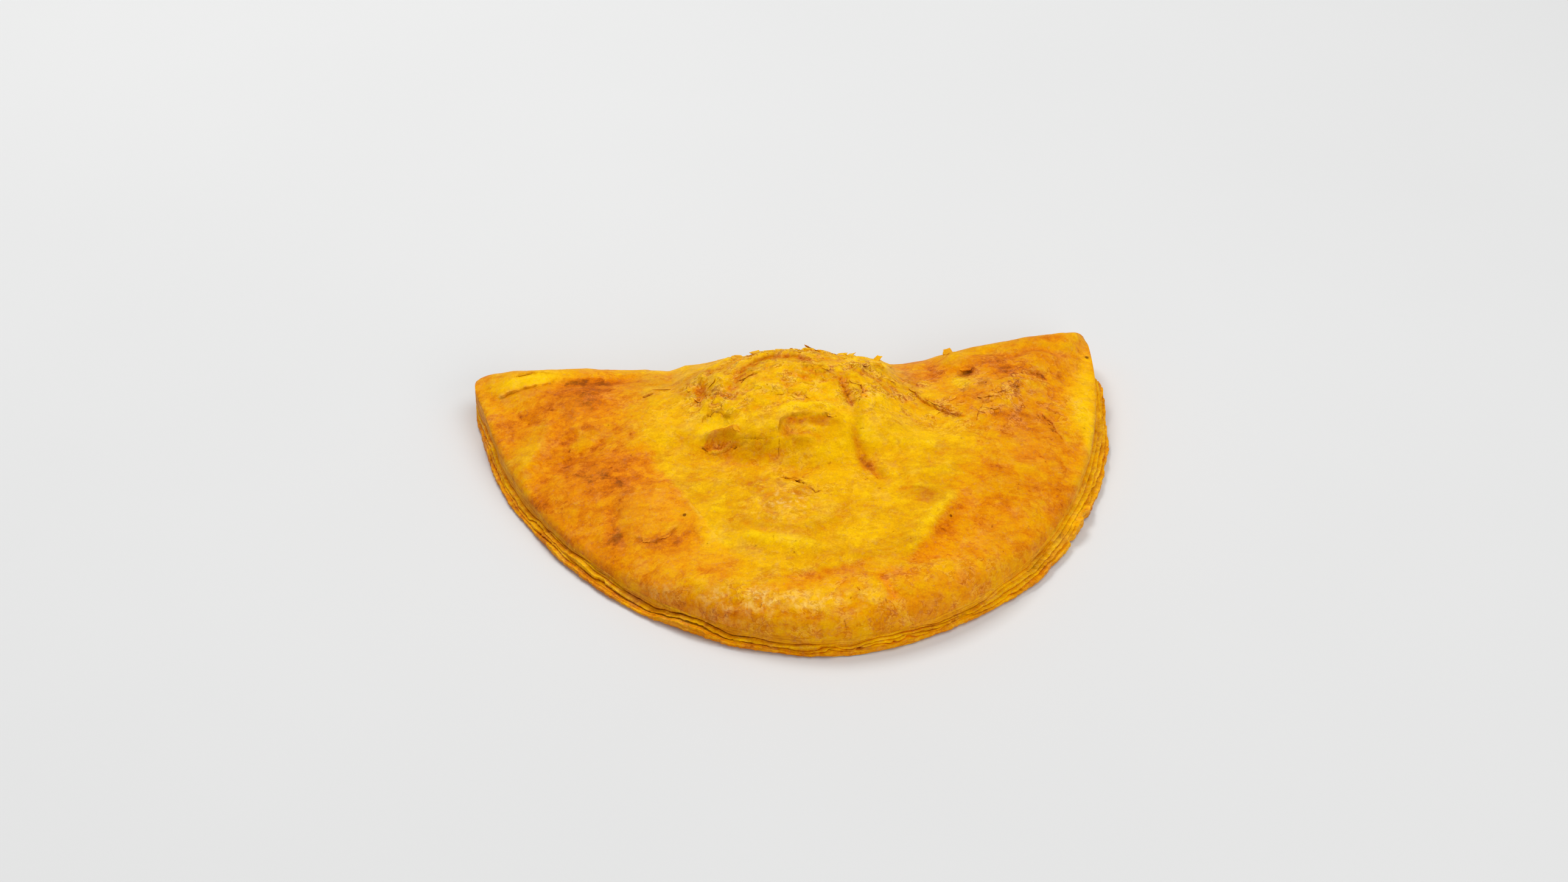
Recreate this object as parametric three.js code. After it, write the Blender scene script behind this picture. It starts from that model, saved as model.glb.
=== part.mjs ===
// A half-moon baked patty: one turnover of flaky yellow pastry, folded along a
// straight back edge and sealed round a curved front edge. It is a single solid,
// lying flat on its base. Millimetres, +Z up, X along the fold, +Y towards the fold.
import * as THREE from 'three';

// ---- driving dimensions (mm) ------------------------------------------------
const HALF_LEFT = 77.8;       // reach of the curved edge to the left
const HALF_RIGHT = 74.5;      // and to the right
const ARC_DEPTH = 94.2;       // fold line to the front of the curved edge
const POWER_LEFT = 1.81;      // 2 would be a true quarter ellipse
const POWER_RIGHT = 1.97;
const ARC_CENTRE_Y = 47.0;    // y of the half ellipse's straight side
const FOLD_Y_LEFT = 46.2;     // y of the fold at its middle, left of centre
const FOLD_Y_RIGHT = 44.8;    // and right of centre
const FOLD_SWEEP = 4.0;       // how far the fold swings back at its two ends
const SWEEP_LENGTH = 77.5;
const CORNER_LEFT = 3.6;      // rounding where the fold meets the curved edge
const CORNER_RIGHT = 1.4;

// Height of the upper crust's lip over y, on the left and on the right.
const LIP_Y = [-45, -34, -24, -10, 8, 28, 45];
const LIP_LEFT = [4.7, 4.5, 4.3, 4.9, 6.2, 8.0, 8.9];
const LIP_RIGHT = [4.7, 4.7, 4.9, 5.7, 7.2, 8.6, 9.3];
const RIM_HEIGHT = 10.4;      // crust height some way inside the sealed edge
const SIDE_RIM_SLOPE = 9.0;   // how far in the crust takes to rise at the sides
const FRONT_RIM_ROUND = 7.0;  // rounding of the puffed front rim
const FOLD_BULGE_Z = 5.0;     // height at which the fold stands out furthest
const FOLD_RISE = 6.7;        // fold's crest above that
const FOLD_ROUND = 6.0;       // rounding of the fold

const DOME_HEIGHT = 4.7;      // low dome over the filling
const CROWN_HEIGHT = 6.5;     // flaky crown behind the middle
const TERRACE_HEIGHT = 2.1;   // step up from the front plateau to the crown
const NOTCH_DEPTH = 3.0;      // dip in the fold to the right of the crown

// How the fold's crest rises and dips along its length.
const FOLD_TOP_X = [-78, -69, -51, -42, -31, -27, -17, 4, 10, 21, 24, 36, 45, 57, 65, 72, 76];
const FOLD_TOP_Z = [-0.3, 0.8, 0.9, -0.2, -2.0, -0.7, 0.1, -0.5, -0.9, 0.2, -1.0, -0.3, 0.5, 1.3, 0.9, 1.8, 2.0];

const SEAM_SHARE = 0.62;      // seam between the upper and the lower crust, as a share of the lip's height
const SEAM_INSET = 1.2;
const LOWER_CRUST_OUT = 1.4;  // the lower crust stands out past the upper one
const BASE_INSET_ARC = 2.5;   // flat base, set in from the curved edge
const BASE_INSET_FOLD = 4.5;  // and from the fold

const AROUND = 120;           // steps round the outline
const HUB = { x: 0, y: 4 };   // middle of the rings

// Blisters, pads and dips of the upper crust: middle, half widths, turn in
// degrees, and height (below zero for a dip).
const RELIEF = [
  { name: 'knuckle', x: 1, y: 8, rx: 8, ry: 4.5, turn: 0, h: 1.3 },
  { name: 'right_bulge', x: 22, y: 7, rx: 7, ry: 9, turn: 15, h: 1.2 },
  { name: 'right_valley', x: 11.5, y: 2, rx: 2.2, ry: 8, turn: -6, h: -1.5 },
  { name: 'left_crater', x: -20, y: 6.5, rx: 6, ry: 3, turn: -12, h: -1.5 },
  { name: 'whorl', x: -9, y: -12.5, rx: 7, ry: 5, turn: 0, h: 0.6 },
  { name: 'left_pad', x: -40, y: -8, rx: 7, ry: 8, turn: 0, h: 1.0 },
  { name: 'left_blister', x: -52, y: 6, rx: 7, ry: 6, turn: 20, h: 1.0 },
  { name: 'left_back_blister', x: -54, y: 34, rx: 11, ry: 5, turn: 0, h: 0.8 },
  { name: 'left_crease', x: -60, y: 17, rx: 8, ry: 2.6, turn: 50, h: -0.9 },
  { name: 'right_ridge', x: 26, y: -21, rx: 12, ry: 2.2, turn: 50, h: 1.0 },
  { name: 'right_pad', x: 44, y: -14, rx: 9, ry: 6, turn: 10, h: 0.7 },
  { name: 'right_blister', x: 51, y: 4, rx: 7, ry: 9, turn: 0, h: 0.9 },
  { name: 'right_back_blister', x: 51, y: 35, rx: 8, ry: 4, turn: 5, h: 0.9 },
  { name: 'right_hollow', x: 40, y: 27, rx: 3, ry: 4, turn: 0, h: -1.2 },
  { name: 'front_dip', x: 2, y: -30, rx: 20, ry: 4, turn: 0, h: -0.7 },
];

// ---- small helpers ----------------------------------------------------------
const clamp01 = (t) => Math.min(1, Math.max(0, t));
const mix = (a, b, t) => a + (b - a) * t;
const smooth = (a, b, x) => {
  const t = clamp01((x - a) / (b - a));
  return t * t * (3 - 2 * t);
};
const bell = (x, s) => Math.exp(-0.5 * (x / s) ** 2);
const quarterRound = (u) => Math.sqrt(Math.max(0, 1 - (1 - clamp01(u)) ** 2));
function interpolate(xs, ys, x) {
  if (x <= xs[0]) return ys[0];
  for (let k = 1; k < xs.length; k++) {
    if (x <= xs[k]) return mix(ys[k - 1], ys[k], (x - xs[k - 1]) / (xs[k] - xs[k - 1]));
  }
  return ys[ys.length - 1];
}
function softMin(a, b, k) {
  const h = clamp01(0.5 + (0.5 * (b - a)) / k);
  return b * (1 - h) + a * h - k * h * (1 - h);
}
function bump(f, x, y) {
  const c = Math.cos(THREE.MathUtils.degToRad(f.turn));
  const s = Math.sin(THREE.MathUtils.degToRad(f.turn));
  const u = ((x - f.x) * c + (y - f.y) * s) / f.rx;
  const v = (-(x - f.x) * s + (y - f.y) * c) / f.ry;
  return f.h * Math.exp(-0.5 * (u * u + v * v));
}

// ---- plan outline -----------------------------------------------------------
const foldY = (x) => (x < 0 ? FOLD_Y_LEFT : FOLD_Y_RIGHT)
  + FOLD_SWEEP * (Math.abs(x) / SWEEP_LENGTH) ** 1.8
  + (x < 0 ? 0 : FOLD_Y_LEFT - FOLD_Y_RIGHT) * bell(x, 12);

// Distance in from the curved edge and from the fold, positive inside.
function inFromArc(x, y) {
  const ax = Math.abs(x) + 1e-9;
  const ay = Math.max(ARC_CENTRE_Y - y, 1e-9);
  const half = x < 0 ? HALF_LEFT : HALF_RIGHT;
  const n = x < 0 ? POWER_LEFT : POWER_RIGHT;
  const F = ((ax / half) ** n + (ay / ARC_DEPTH) ** n) ** (1 / n);
  const gx = F ** (1 - n) * (ax / half) ** (n - 1) / half;
  const gy = F ** (1 - n) * (ay / ARC_DEPTH) ** (n - 1) / ARC_DEPTH;
  const tip = 1.3 * bell(y - 44, 4.5) * smooth(-58, -72, x);
  return (1 - F) / Math.max(Math.hypot(gx, gy), 1e-6) + tip;
}
const inFromFold = (x, y) => foldY(x) - y;
const inside = (x, y) => softMin(inFromArc(x, y), inFromFold(x, y), x < 0 ? CORNER_LEFT : CORNER_RIGHT);

// 1 beside the fold, 0 beside the curved edge.
const foldShare = (x, y) => smooth(-6, 6, inFromArc(x, y) - inFromFold(x, y));

// ---- upper crust ------------------------------------------------------------
const frontShare = (y) => smooth(14, -28, y);
const lipZ = (x, y) => interpolate(LIP_Y, x < 0 ? LIP_LEFT : LIP_RIGHT, y);

function crustZ(x, y) {
  const d = Math.max(inside(x, y), 0);
  const a = Math.max(inFromArc(x, y), 0);
  const front = frontShare(y);
  const w = smooth(-6 - 1.1 * d * smooth(24, 52, Math.abs(x)), 6, inFromArc(x, y) - inFromFold(x, y));
  const crisp = 0.16 * quarterRound(a / 1.2) + 0.84 * (1 - Math.exp(-a / SIDE_RIM_SLOPE));
  const lip = lipZ(x, y);
  const arc = lip + (RIM_HEIGHT + 0.7 * front - lip)
    * mix(crisp, quarterRound(a / FRONT_RIM_ROUND), smooth(-18, -36, y));
  const rise = FOLD_RISE + 0.9 * smooth(25, 75, x) + 0.8 * smooth(55, 75, x)
    - NOTCH_DEPTH * bell(x - 28, 7) + 2.4 * bell(x + 8, 16)
    + interpolate(FOLD_TOP_X, FOLD_TOP_Z, x) * smooth(26, 9, inFromFold(x, y));
  const fold = FOLD_BULGE_Z + rise * quarterRound(d / FOLD_ROUND);
  let z = mix(arc, fold, w);
  z += DOME_HEIGHT * bell(x, 36) * bell(y - 6, 26) * smooth(2, 22, d);
  z += CROWN_HEIGHT * bell(x, 20) * bell(y - 31, 10) * smooth(0, 12, d);
  z += TERRACE_HEIGHT * smooth(1, 10, y) * (1 - smooth(18, 38, y))
    * smooth(-32, -10, x) * (1 - smooth(10, 26, x));
  const fade = smooth(0.5, 5, d);
  for (const f of RELIEF) z += bump(f, x, y) * fade;
  return z;
}

// ---- rings ------------------------------------------------------------------
// Directions round the hub, drawn together towards the two corners of the half moon.
function makeAngles() {
  const fine = 1440, corners = [29.8, 150.2];
  const sum = [0];
  for (let i = 0; i < fine; i++) {
    const deg = ((i + 0.5) / fine) * 360;
    sum.push(sum[i] + 1 + 3.2 * corners.reduce((t, c) => t + bell(deg - c, 5), 0));
  }
  const angles = [];
  for (let i = 0, k = 0; i < AROUND; i++) {
    const want = (i / AROUND) * sum[fine];
    while (sum[k + 1] < want) k++;
    angles.push(((k + (want - sum[k]) / (sum[k + 1] - sum[k])) / fine) * Math.PI * 2);
  }
  return angles;
}

// One ray for each direction, with its reach to the outline and the slant
// between the ray and the outline's own normal.
function makeRays() {
  const rays = [];
  for (const t of makeAngles()) {
    const cx = Math.cos(t), cy = Math.sin(t);
    let lo = 5, hi = 120;
    for (let k = 0; k < 60; k++) {
      const m = (lo + hi) / 2;
      if (inside(HUB.x + cx * m, HUB.y + cy * m) > 0) lo = m; else hi = m;
    }
    const x = HUB.x + cx * lo, y = HUB.y + cy * lo, e = 0.05;
    const nx = inside(x - e, y) - inside(x + e, y);
    const ny = inside(x, y - e) - inside(x, y + e);
    const slant = Math.max((nx * cx + ny * cy) / Math.hypot(nx, ny), 0.45);
    rays.push({ cx, cy, reach: lo, slant, fold: foldShare(x, y), x, y });
  }
  return rays;
}

// Share of the way from the hub to the outline, from the outline inwards.
const TOP_SHARES = [1, 0.994, 0.984, 0.968, 0.944, 0.91, 0.865, 0.81, 0.75, 0.685,
  0.615, 0.54, 0.465, 0.39, 0.315, 0.24, 0.165, 0.085];
const BASE_SHARES = [0.72, 0.4];

// Edge profile below the lip: how far out from the outline, and how high (as a
// share of the lip's height at the curved edge, in millimetres at the fold).
const ARC_EDGE = [
  [0.0, SEAM_SHARE + 0.12], [-SEAM_INSET, SEAM_SHARE], [0.5, SEAM_SHARE - 0.12],
  [LOWER_CRUST_OUT, 0.30], [LOWER_CRUST_OUT - 0.5, 0.10], [-BASE_INSET_ARC, 0],
];
const FOLD_EDGE = [
  [-0.1, 3.7], [-0.5, 2.6], [-1.2, 1.6], [-2.1, 0.8], [-3.2, 0.3], [-BASE_INSET_FOLD, 0],
];

function buildPatty() {
  const rays = makeRays();
  const positions = [];
  const rings = [];
  const addRing = (at) => {
    const ring = [];
    for (const ray of rays) {
      ring.push(positions.length / 3);
      positions.push(...at(ray));
    }
    rings.push(ring);
  };
  const along = (ray, r) => [HUB.x + ray.cx * r, HUB.y + ray.cy * r];

  const hubTop = positions.length / 3;
  positions.push(HUB.x, HUB.y, crustZ(HUB.x, HUB.y));
  for (const share of [...TOP_SHARES].reverse()) {
    addRing((ray) => {
      const [x, y] = along(ray, ray.reach * share);
      return [x, y, crustZ(x, y)];
    });
  }
  for (let k = 0; k < ARC_EDGE.length; k++) {
    addRing((ray) => {
      const out = mix(ARC_EDGE[k][0], FOLD_EDGE[k][0], ray.fold);
      const z = mix(ARC_EDGE[k][1] * lipZ(ray.x, ray.y), FOLD_EDGE[k][1], ray.fold);
      return [...along(ray, ray.reach + out / ray.slant), z];
    });
  }
  for (const share of BASE_SHARES) {
    addRing((ray) => {
      const inset = mix(BASE_INSET_ARC, BASE_INSET_FOLD, ray.fold) / ray.slant;
      return [...along(ray, (ray.reach - inset) * share), 0];
    });
  }
  const hubBase = positions.length / 3;
  positions.push(HUB.x, HUB.y, 0);

  const index = [];
  const n = AROUND;
  for (let i = 0; i < n; i++) {
    const j = (i + 1) % n;
    index.push(hubTop, rings[0][i], rings[0][j]);
    for (let k = 0; k + 1 < rings.length; k++) {
      const a = rings[k][i], b = rings[k][j], c = rings[k + 1][j], d = rings[k + 1][i];
      if ((i + k) % 2) index.push(a, d, c, a, c, b);
      else index.push(a, d, b, b, d, c);
    }
    const last = rings[rings.length - 1];
    index.push(hubBase, last[j], last[i]);
  }

  const geometry = new THREE.BufferGeometry();
  geometry.setAttribute('position', new THREE.Float32BufferAttribute(positions, 3));
  geometry.setIndex(index);
  // Origin at the middle of the box that the patty fills, on its base.
  geometry.computeBoundingBox();
  const { min, max } = geometry.boundingBox;
  geometry.translate(-(min.x + max.x) / 2, -(min.y + max.y) / 2, -min.z);
  geometry.computeVertexNormals();
  return geometry;
}

// ---- the part ---------------------------------------------------------------
const crust = new THREE.MeshStandardMaterial({
  name: 'crust', color: 0xe39c1c, roughness: 0.6, metalness: 0.0,
});

const patty = new THREE.Mesh(buildPatty(), crust);
patty.name = 'patty';

const part = new THREE.Group();
part.add(patty);

export default part;
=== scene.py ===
"""A half-moon baked patty: flaky yellow pastry, browned in patches, cracked over the crown.

Shapes are worked out in millimetres in the plan of the patty (x along the fold, y towards
the fold, z up) and turned into metres when the meshes are made.
"""
import math

import bpy
import numpy as np
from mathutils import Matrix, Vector
from mathutils.geometry import delaunay_2d_cdt


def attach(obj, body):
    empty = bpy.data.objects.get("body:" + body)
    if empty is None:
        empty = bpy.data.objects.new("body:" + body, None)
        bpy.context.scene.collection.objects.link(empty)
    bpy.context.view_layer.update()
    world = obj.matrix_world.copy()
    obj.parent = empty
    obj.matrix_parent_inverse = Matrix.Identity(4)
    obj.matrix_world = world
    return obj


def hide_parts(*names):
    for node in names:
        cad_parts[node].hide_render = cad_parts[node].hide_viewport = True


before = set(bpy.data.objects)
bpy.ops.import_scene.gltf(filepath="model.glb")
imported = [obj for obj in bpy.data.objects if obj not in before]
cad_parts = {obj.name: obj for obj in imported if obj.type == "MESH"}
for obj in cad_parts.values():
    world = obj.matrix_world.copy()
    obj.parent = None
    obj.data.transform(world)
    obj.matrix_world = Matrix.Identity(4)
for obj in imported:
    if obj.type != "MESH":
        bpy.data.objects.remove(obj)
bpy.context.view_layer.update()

# ---------------------------------------------------------------- sizes (mm)
HALF_LENGTH, ARC_DEPTH, ARC_CENTRE_Y = 77.5, 94.0, 47.0
HALF_LEFT, HALF_RIGHT, POWER_LEFT, POWER_RIGHT = 77.3, 74.2, 1.81, 1.97
FOLD_Y_LEFT, FOLD_Y_RIGHT, FOLD_SWEEP = 46.2, 44.8, 4.0
CORNER_LEFT, CORNER_RIGHT = 3.6, 1.4
RIM_HEIGHT = 10.4
SIDE_RIM_SLOPE, FRONT_RIM_ROUND = 9.0, 7.0
FOLD_BULGE_Z, FOLD_RISE, FOLD_ROUND = 5.0, 6.7, 6.0
DOME_HEIGHT, CROWN_HEIGHT, TERRACE_HEIGHT, NOTCH_DEPTH = 4.7, 6.5, 2.1, 3.0
BASE_INSET_ARC, BASE_INSET_FOLD = 2.5, 4.5
HUB = (0.0, 4.0)
X_ORIGIN, Y_ORIGIN = -2.302, 0.6435      # plan point at the middle of the patty's box


# ---------------------------------------------------------------- helpers
def sstep(a, b, x):
    t = np.clip((x - a) / (b - a), 0, 1)
    return t * t * (3 - 2 * t)


def mix(a, b, t):
    return a + (b - a) * t


def bell(x, s):
    return np.exp(-0.5 * (x / s) ** 2)


def quarter_round(u):
    return np.sqrt(np.maximum(1 - (1 - np.clip(u, 0, 1)) ** 2, 0))


def soft_min(a, b, k):
    h = np.clip(0.5 + 0.5 * (b - a) / k, 0, 1)
    return b * (1 - h) + a * h - k * h * (1 - h)


def blob(x, y, cx, cy, rx, ry, turn=0.0):
    c, s = math.cos(math.radians(turn)), math.sin(math.radians(turn))
    u = ((x - cx) * c + (y - cy) * s) / rx
    v = (-(x - cx) * s + (y - cy) * c) / ry
    return np.exp(-0.5 * (u * u + v * v))


def hash01(ix, iy, seed):
    ix = ix.astype(np.int64).astype(np.uint64)
    iy = iy.astype(np.int64).astype(np.uint64)
    h = ix * np.uint64(374761393) + iy * np.uint64(668265263) + np.uint64(seed * 974711 + 17)
    h &= np.uint64(0xFFFFFFFF)
    h = ((h ^ (h >> np.uint64(13))) * np.uint64(1274126177)) & np.uint64(0xFFFFFFFF)
    h = ((h ^ (h >> np.uint64(16))) * np.uint64(2246822519)) & np.uint64(0xFFFFFFFF)
    h ^= h >> np.uint64(15)
    return h.astype(np.float64) / 4294967296.0


def perlin(x, y, seed=0):
    x, y = np.broadcast_arrays(np.asarray(x, float), np.asarray(y, float))
    ix, iy = np.floor(x), np.floor(y)
    fx, fy = x - ix, y - iy
    ux = fx ** 3 * (fx * (fx * 6 - 15) + 10)
    uy = fy ** 3 * (fy * (fy * 6 - 15) + 10)

    def corner(ox, oy):
        a = hash01(ix + ox, iy + oy, seed) * 2 * math.pi
        return np.cos(a) * (fx - ox) + np.sin(a) * (fy - oy)

    low = corner(0, 0) * (1 - ux) + corner(1, 0) * ux
    high = corner(0, 1) * (1 - ux) + corner(1, 1) * ux
    return (low * (1 - uy) + high * uy) * 1.5


def fbm(x, y, octaves=4, seed=0, gain=0.5):
    total, amp, norm = 0.0, 1.0, 0.0
    for k in range(octaves):
        f = 2.03 ** k
        total = total + amp * perlin(x * f + 7.3 * k, y * f - 3.1 * k, seed + 11 * k)
        norm += amp
        amp *= gain
    return total / norm


def voronoi(x, y, seed=0):
    """Distance to the nearest and second nearest cell point, and the nearest cell's number 0..1."""
    ix, iy = np.floor(x), np.floor(y)
    f1, f2 = np.full(x.shape, 9.0), np.full(x.shape, 9.0)
    cell = np.zeros(x.shape)
    for ox in (-1, 0, 1):
        for oy in (-1, 0, 1):
            px = ix + ox + 0.1 + 0.8 * hash01(ix + ox, iy + oy, seed)
            py = iy + oy + 0.1 + 0.8 * hash01(ix + ox, iy + oy, seed + 5)
            d = np.hypot(px - x, py - y)
            c = hash01(ix + ox, iy + oy, seed + 9)
            nearer = d < f1
            f2 = np.where(nearer, f1, np.minimum(f2, d))
            cell = np.where(nearer, c, cell)
            f1 = np.where(nearer, d, f1)
    return f1, f2, cell


# ---------------------------------------------------------------- plan outline
def fold_y(x):
    base = np.where(x < 0, FOLD_Y_LEFT, FOLD_Y_RIGHT + (FOLD_Y_LEFT - FOLD_Y_RIGHT) * bell(x, 12))
    return base + FOLD_SWEEP * (np.abs(x) / HALF_LENGTH) ** 1.8


def in_from_arc(x, y):
    ax, ay = np.abs(x) + 1e-9, np.maximum(ARC_CENTRE_Y - y, 1e-9)
    half, n = np.where(x < 0, HALF_LEFT, HALF_RIGHT), np.where(x < 0, POWER_LEFT, POWER_RIGHT)
    f = ((ax / half) ** n + (ay / ARC_DEPTH) ** n) ** (1 / n)
    gx = f ** (1 - n) * (ax / half) ** (n - 1) / half
    gy = f ** (1 - n) * (ay / ARC_DEPTH) ** (n - 1) / ARC_DEPTH
    tip = 1.3 * bell(y - 44, 4.5) * sstep(-58, -72, x)
    return (1 - f) / np.maximum(np.hypot(gx, gy), 1e-6) + tip


def inside(x, y):
    return soft_min(in_from_arc(x, y), fold_y(x) - y, np.where(x < 0, CORNER_LEFT, CORNER_RIGHT))


def fold_share(x, y):
    return sstep(-6, 6, in_from_arc(x, y) - (fold_y(x) - y))


# ---------------------------------------------------------------- relief
# Blisters, pads and dips: x, y, half widths, turn, height.
RELIEF = [
    (1, 7, 8, 4.5, 0, 1.0), (22, 7, 7, 9, 15, 1.3), (11.5, 2, 2.2, 8, -6, -0.8),
    (-20, 4.5, 7, 2.2, -8, -0.5), (-9, -12.5, 7, 5, 0, 0.6), (-40, -9, 6.5, 6.5, 0, 1.1),
    (-51, 4, 7, 4.5, 12, 1.0), (-54, 31, 9, 4, 8, 0.9), (-57, 13, 8, 2.2, 32, -0.7),
    (44, -14, 9, 6, 10, 0.6), (51, 4, 7, 8, 0, 0.8), (36, -20, 5, 3, 40, -0.6),
    (58, 37, 9, 3, 4, 0.5), (40, 31, 2.6, 2.6, 0, -0.9), (2, -31, 20, 3.4, 0, -0.7),
    (39, 38, 3.4, 4, 30, 1.2), (47, 23.5, 5.5, 3.2, 10, 0.8), (64, 18, 5, 9, 0, 0.5),
    (20, -37, 9, 3, 4, 0.6), (-22, -33, 12, 4, -14, 0.6), (-36, 18, 9, 7, 20, 0.5),
    (-5, 16, 9, 4, 0, 0.7), (-1, 1, 7, 2, 0, -0.5), (14, 16, 3, 5, 0, 0.5),
]


# How the top of the fold rises and dips along its length: x, height.
FOLD_TOP = (
    (-78, -75, -72, -69, -60, -51, -48, -45, -42, -39, -36, -33.5, -31, -29, -27, -21, -17, -14, -4, 4, 10, 15, 21, 24, 27, 30, 33, 36, 42, 45, 51, 57, 61, 65, 69, 72, 76),
    (-.3, .2, .2, .8, .8, .95, .5, .1, -.2, -.6, -.8, -1.4, -2.2, -1.5, -.7, -.6, .1, -.4, 0, -.5, -.9, -.5, .3, -1.1, -.9, -.5, -.7, -.3, -.1, .5, 1.0, 1.3, 1.1, .8, 1.1, 1.8, 2.0),
)


# Height of the upper crust's lip over the plan y, on the left and the right.
LIP_Y = (-45, -34, -24, -10, 8, 28, 45)
LIP_LEFT, LIP_RIGHT = (4.7, 4.5, 4.3, 4.9, 6.2, 8.0, 8.9), (4.7, 4.7, 4.9, 5.7, 7.2, 8.6, 9.3)


def form_z(x, y):
    """The patty's broad form, without its fine relief."""
    d = np.maximum(inside(x, y), 0)
    front = sstep(14, -28, y)
    a = np.maximum(in_from_arc(x, y), 0)
    w = sstep(-6 - 1.1 * d * sstep(24, 52, np.abs(x)), 6, in_from_arc(x, y) - (fold_y(x) - y))
    lip = np.where(x < 0, np.interp(y, LIP_Y, LIP_LEFT), np.interp(y, LIP_Y, LIP_RIGHT))
    crisp = 0.16 * quarter_round(a / 1.2) + 0.84 * (1 - np.exp(-a / SIDE_RIM_SLOPE))
    arc = lip + (RIM_HEIGHT + 0.7 * front - lip) * mix(crisp, quarter_round(a / FRONT_RIM_ROUND), sstep(-18, -36, y))
    rise = FOLD_RISE + 0.9 * sstep(25, 75, x) + 0.8 * sstep(55, 75, x) - NOTCH_DEPTH * bell(x - 28, 7) + 2.4 * bell(x + 8, 16)
    rise = rise + np.interp(x, *FOLD_TOP) * sstep(26, 9, fold_y(x) - y)
    fold = FOLD_BULGE_Z + rise * quarter_round(d / FOLD_ROUND)
    z = mix(arc, fold, w)
    z = z + DOME_HEIGHT * bell(x, 36) * bell(y - 6, 26) * sstep(2, 22, d)
    z = z + CROWN_HEIGHT * bell(x, 20) * bell(y - 31, 10) * sstep(0, 12, d)
    z = z + TERRACE_HEIGHT * sstep(1, 10, y) * (1 - sstep(18, 38, y)) * sstep(-32, -10, x) * (1 - sstep(10, 26, x))
    fade = sstep(0.5, 5, d)
    for cx, cy, rx, ry, turn, h in RELIEF:
        z = z + h * blob(x, y, cx, cy, rx, ry, turn) * fade
    return z


def jagged(points, step=0.3, amp=0.4, scale=1.4, seed=0):
    """A polyline cut into short steps, each moved aside a little, as a torn edge runs."""
    p = np.array(points, float)
    seg = np.hypot(*np.diff(p, axis=0).T)
    at = np.concatenate([[0], np.cumsum(seg)])
    n = max(int(at[-1] / step), 3)
    t = np.linspace(0, at[-1], n + 1)
    q = np.stack([np.interp(t, at, p[:, k]) for k in (0, 1)], 1)
    for _ in range(2):      # round the corners of the drawn line
        q[1:-1] = 0.25 * q[:-2] + 0.5 * q[1:-1] + 0.25 * q[2:]
    tang = np.gradient(q, axis=0)
    tang /= np.maximum(np.hypot(*tang.T), 1e-9)[:, None]
    off = amp * (fbm(t / scale, np.full_like(t, seed * 3.7), 3, seed))
    q += np.stack([-tang[:, 1], tang[:, 0]], 1) * (off * np.minimum(1, np.minimum(t, at[-1] - t) / 0.8))[:, None]
    return q


def near_line(x, y, line, reach):
    """Signed distance to a polyline (left of its travel is positive) and the share along it, where within reach."""
    sd = np.full(x.shape, 99.0)
    along = np.zeros(x.shape)
    lo, hi = line.min(0) - reach, line.max(0) + reach
    pick = np.nonzero((x > lo[0]) & (x < hi[0]) & (y > lo[1]) & (y < hi[1]))[0]
    if not len(pick):
        return sd, along
    px, py = x[pick], y[pick]
    best = np.full(px.shape, 99.0)
    sign, share = np.ones(px.shape), np.zeros(px.shape)
    n = len(line) - 1
    for k in range(n):
        ax, ay = line[k]
        dx, dy = line[k + 1] - line[k]
        ll = max(dx * dx + dy * dy, 1e-12)
        t = np.clip(((px - ax) * dx + (py - ay) * dy) / ll, 0, 1)
        ex, ey = px - (ax + t * dx), py - (ay + t * dy)
        d = np.hypot(ex, ey)
        better = d < best
        best = np.where(better, d, best)
        sign = np.where(better, np.where(dx * (py - ay) - dy * (px - ax) >= 0, 1.0, -1.0), sign)
        share = np.where(better, (k + t) / n, share)
    sd[pick] = best * sign
    along[pick] = share
    return sd, along


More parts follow.
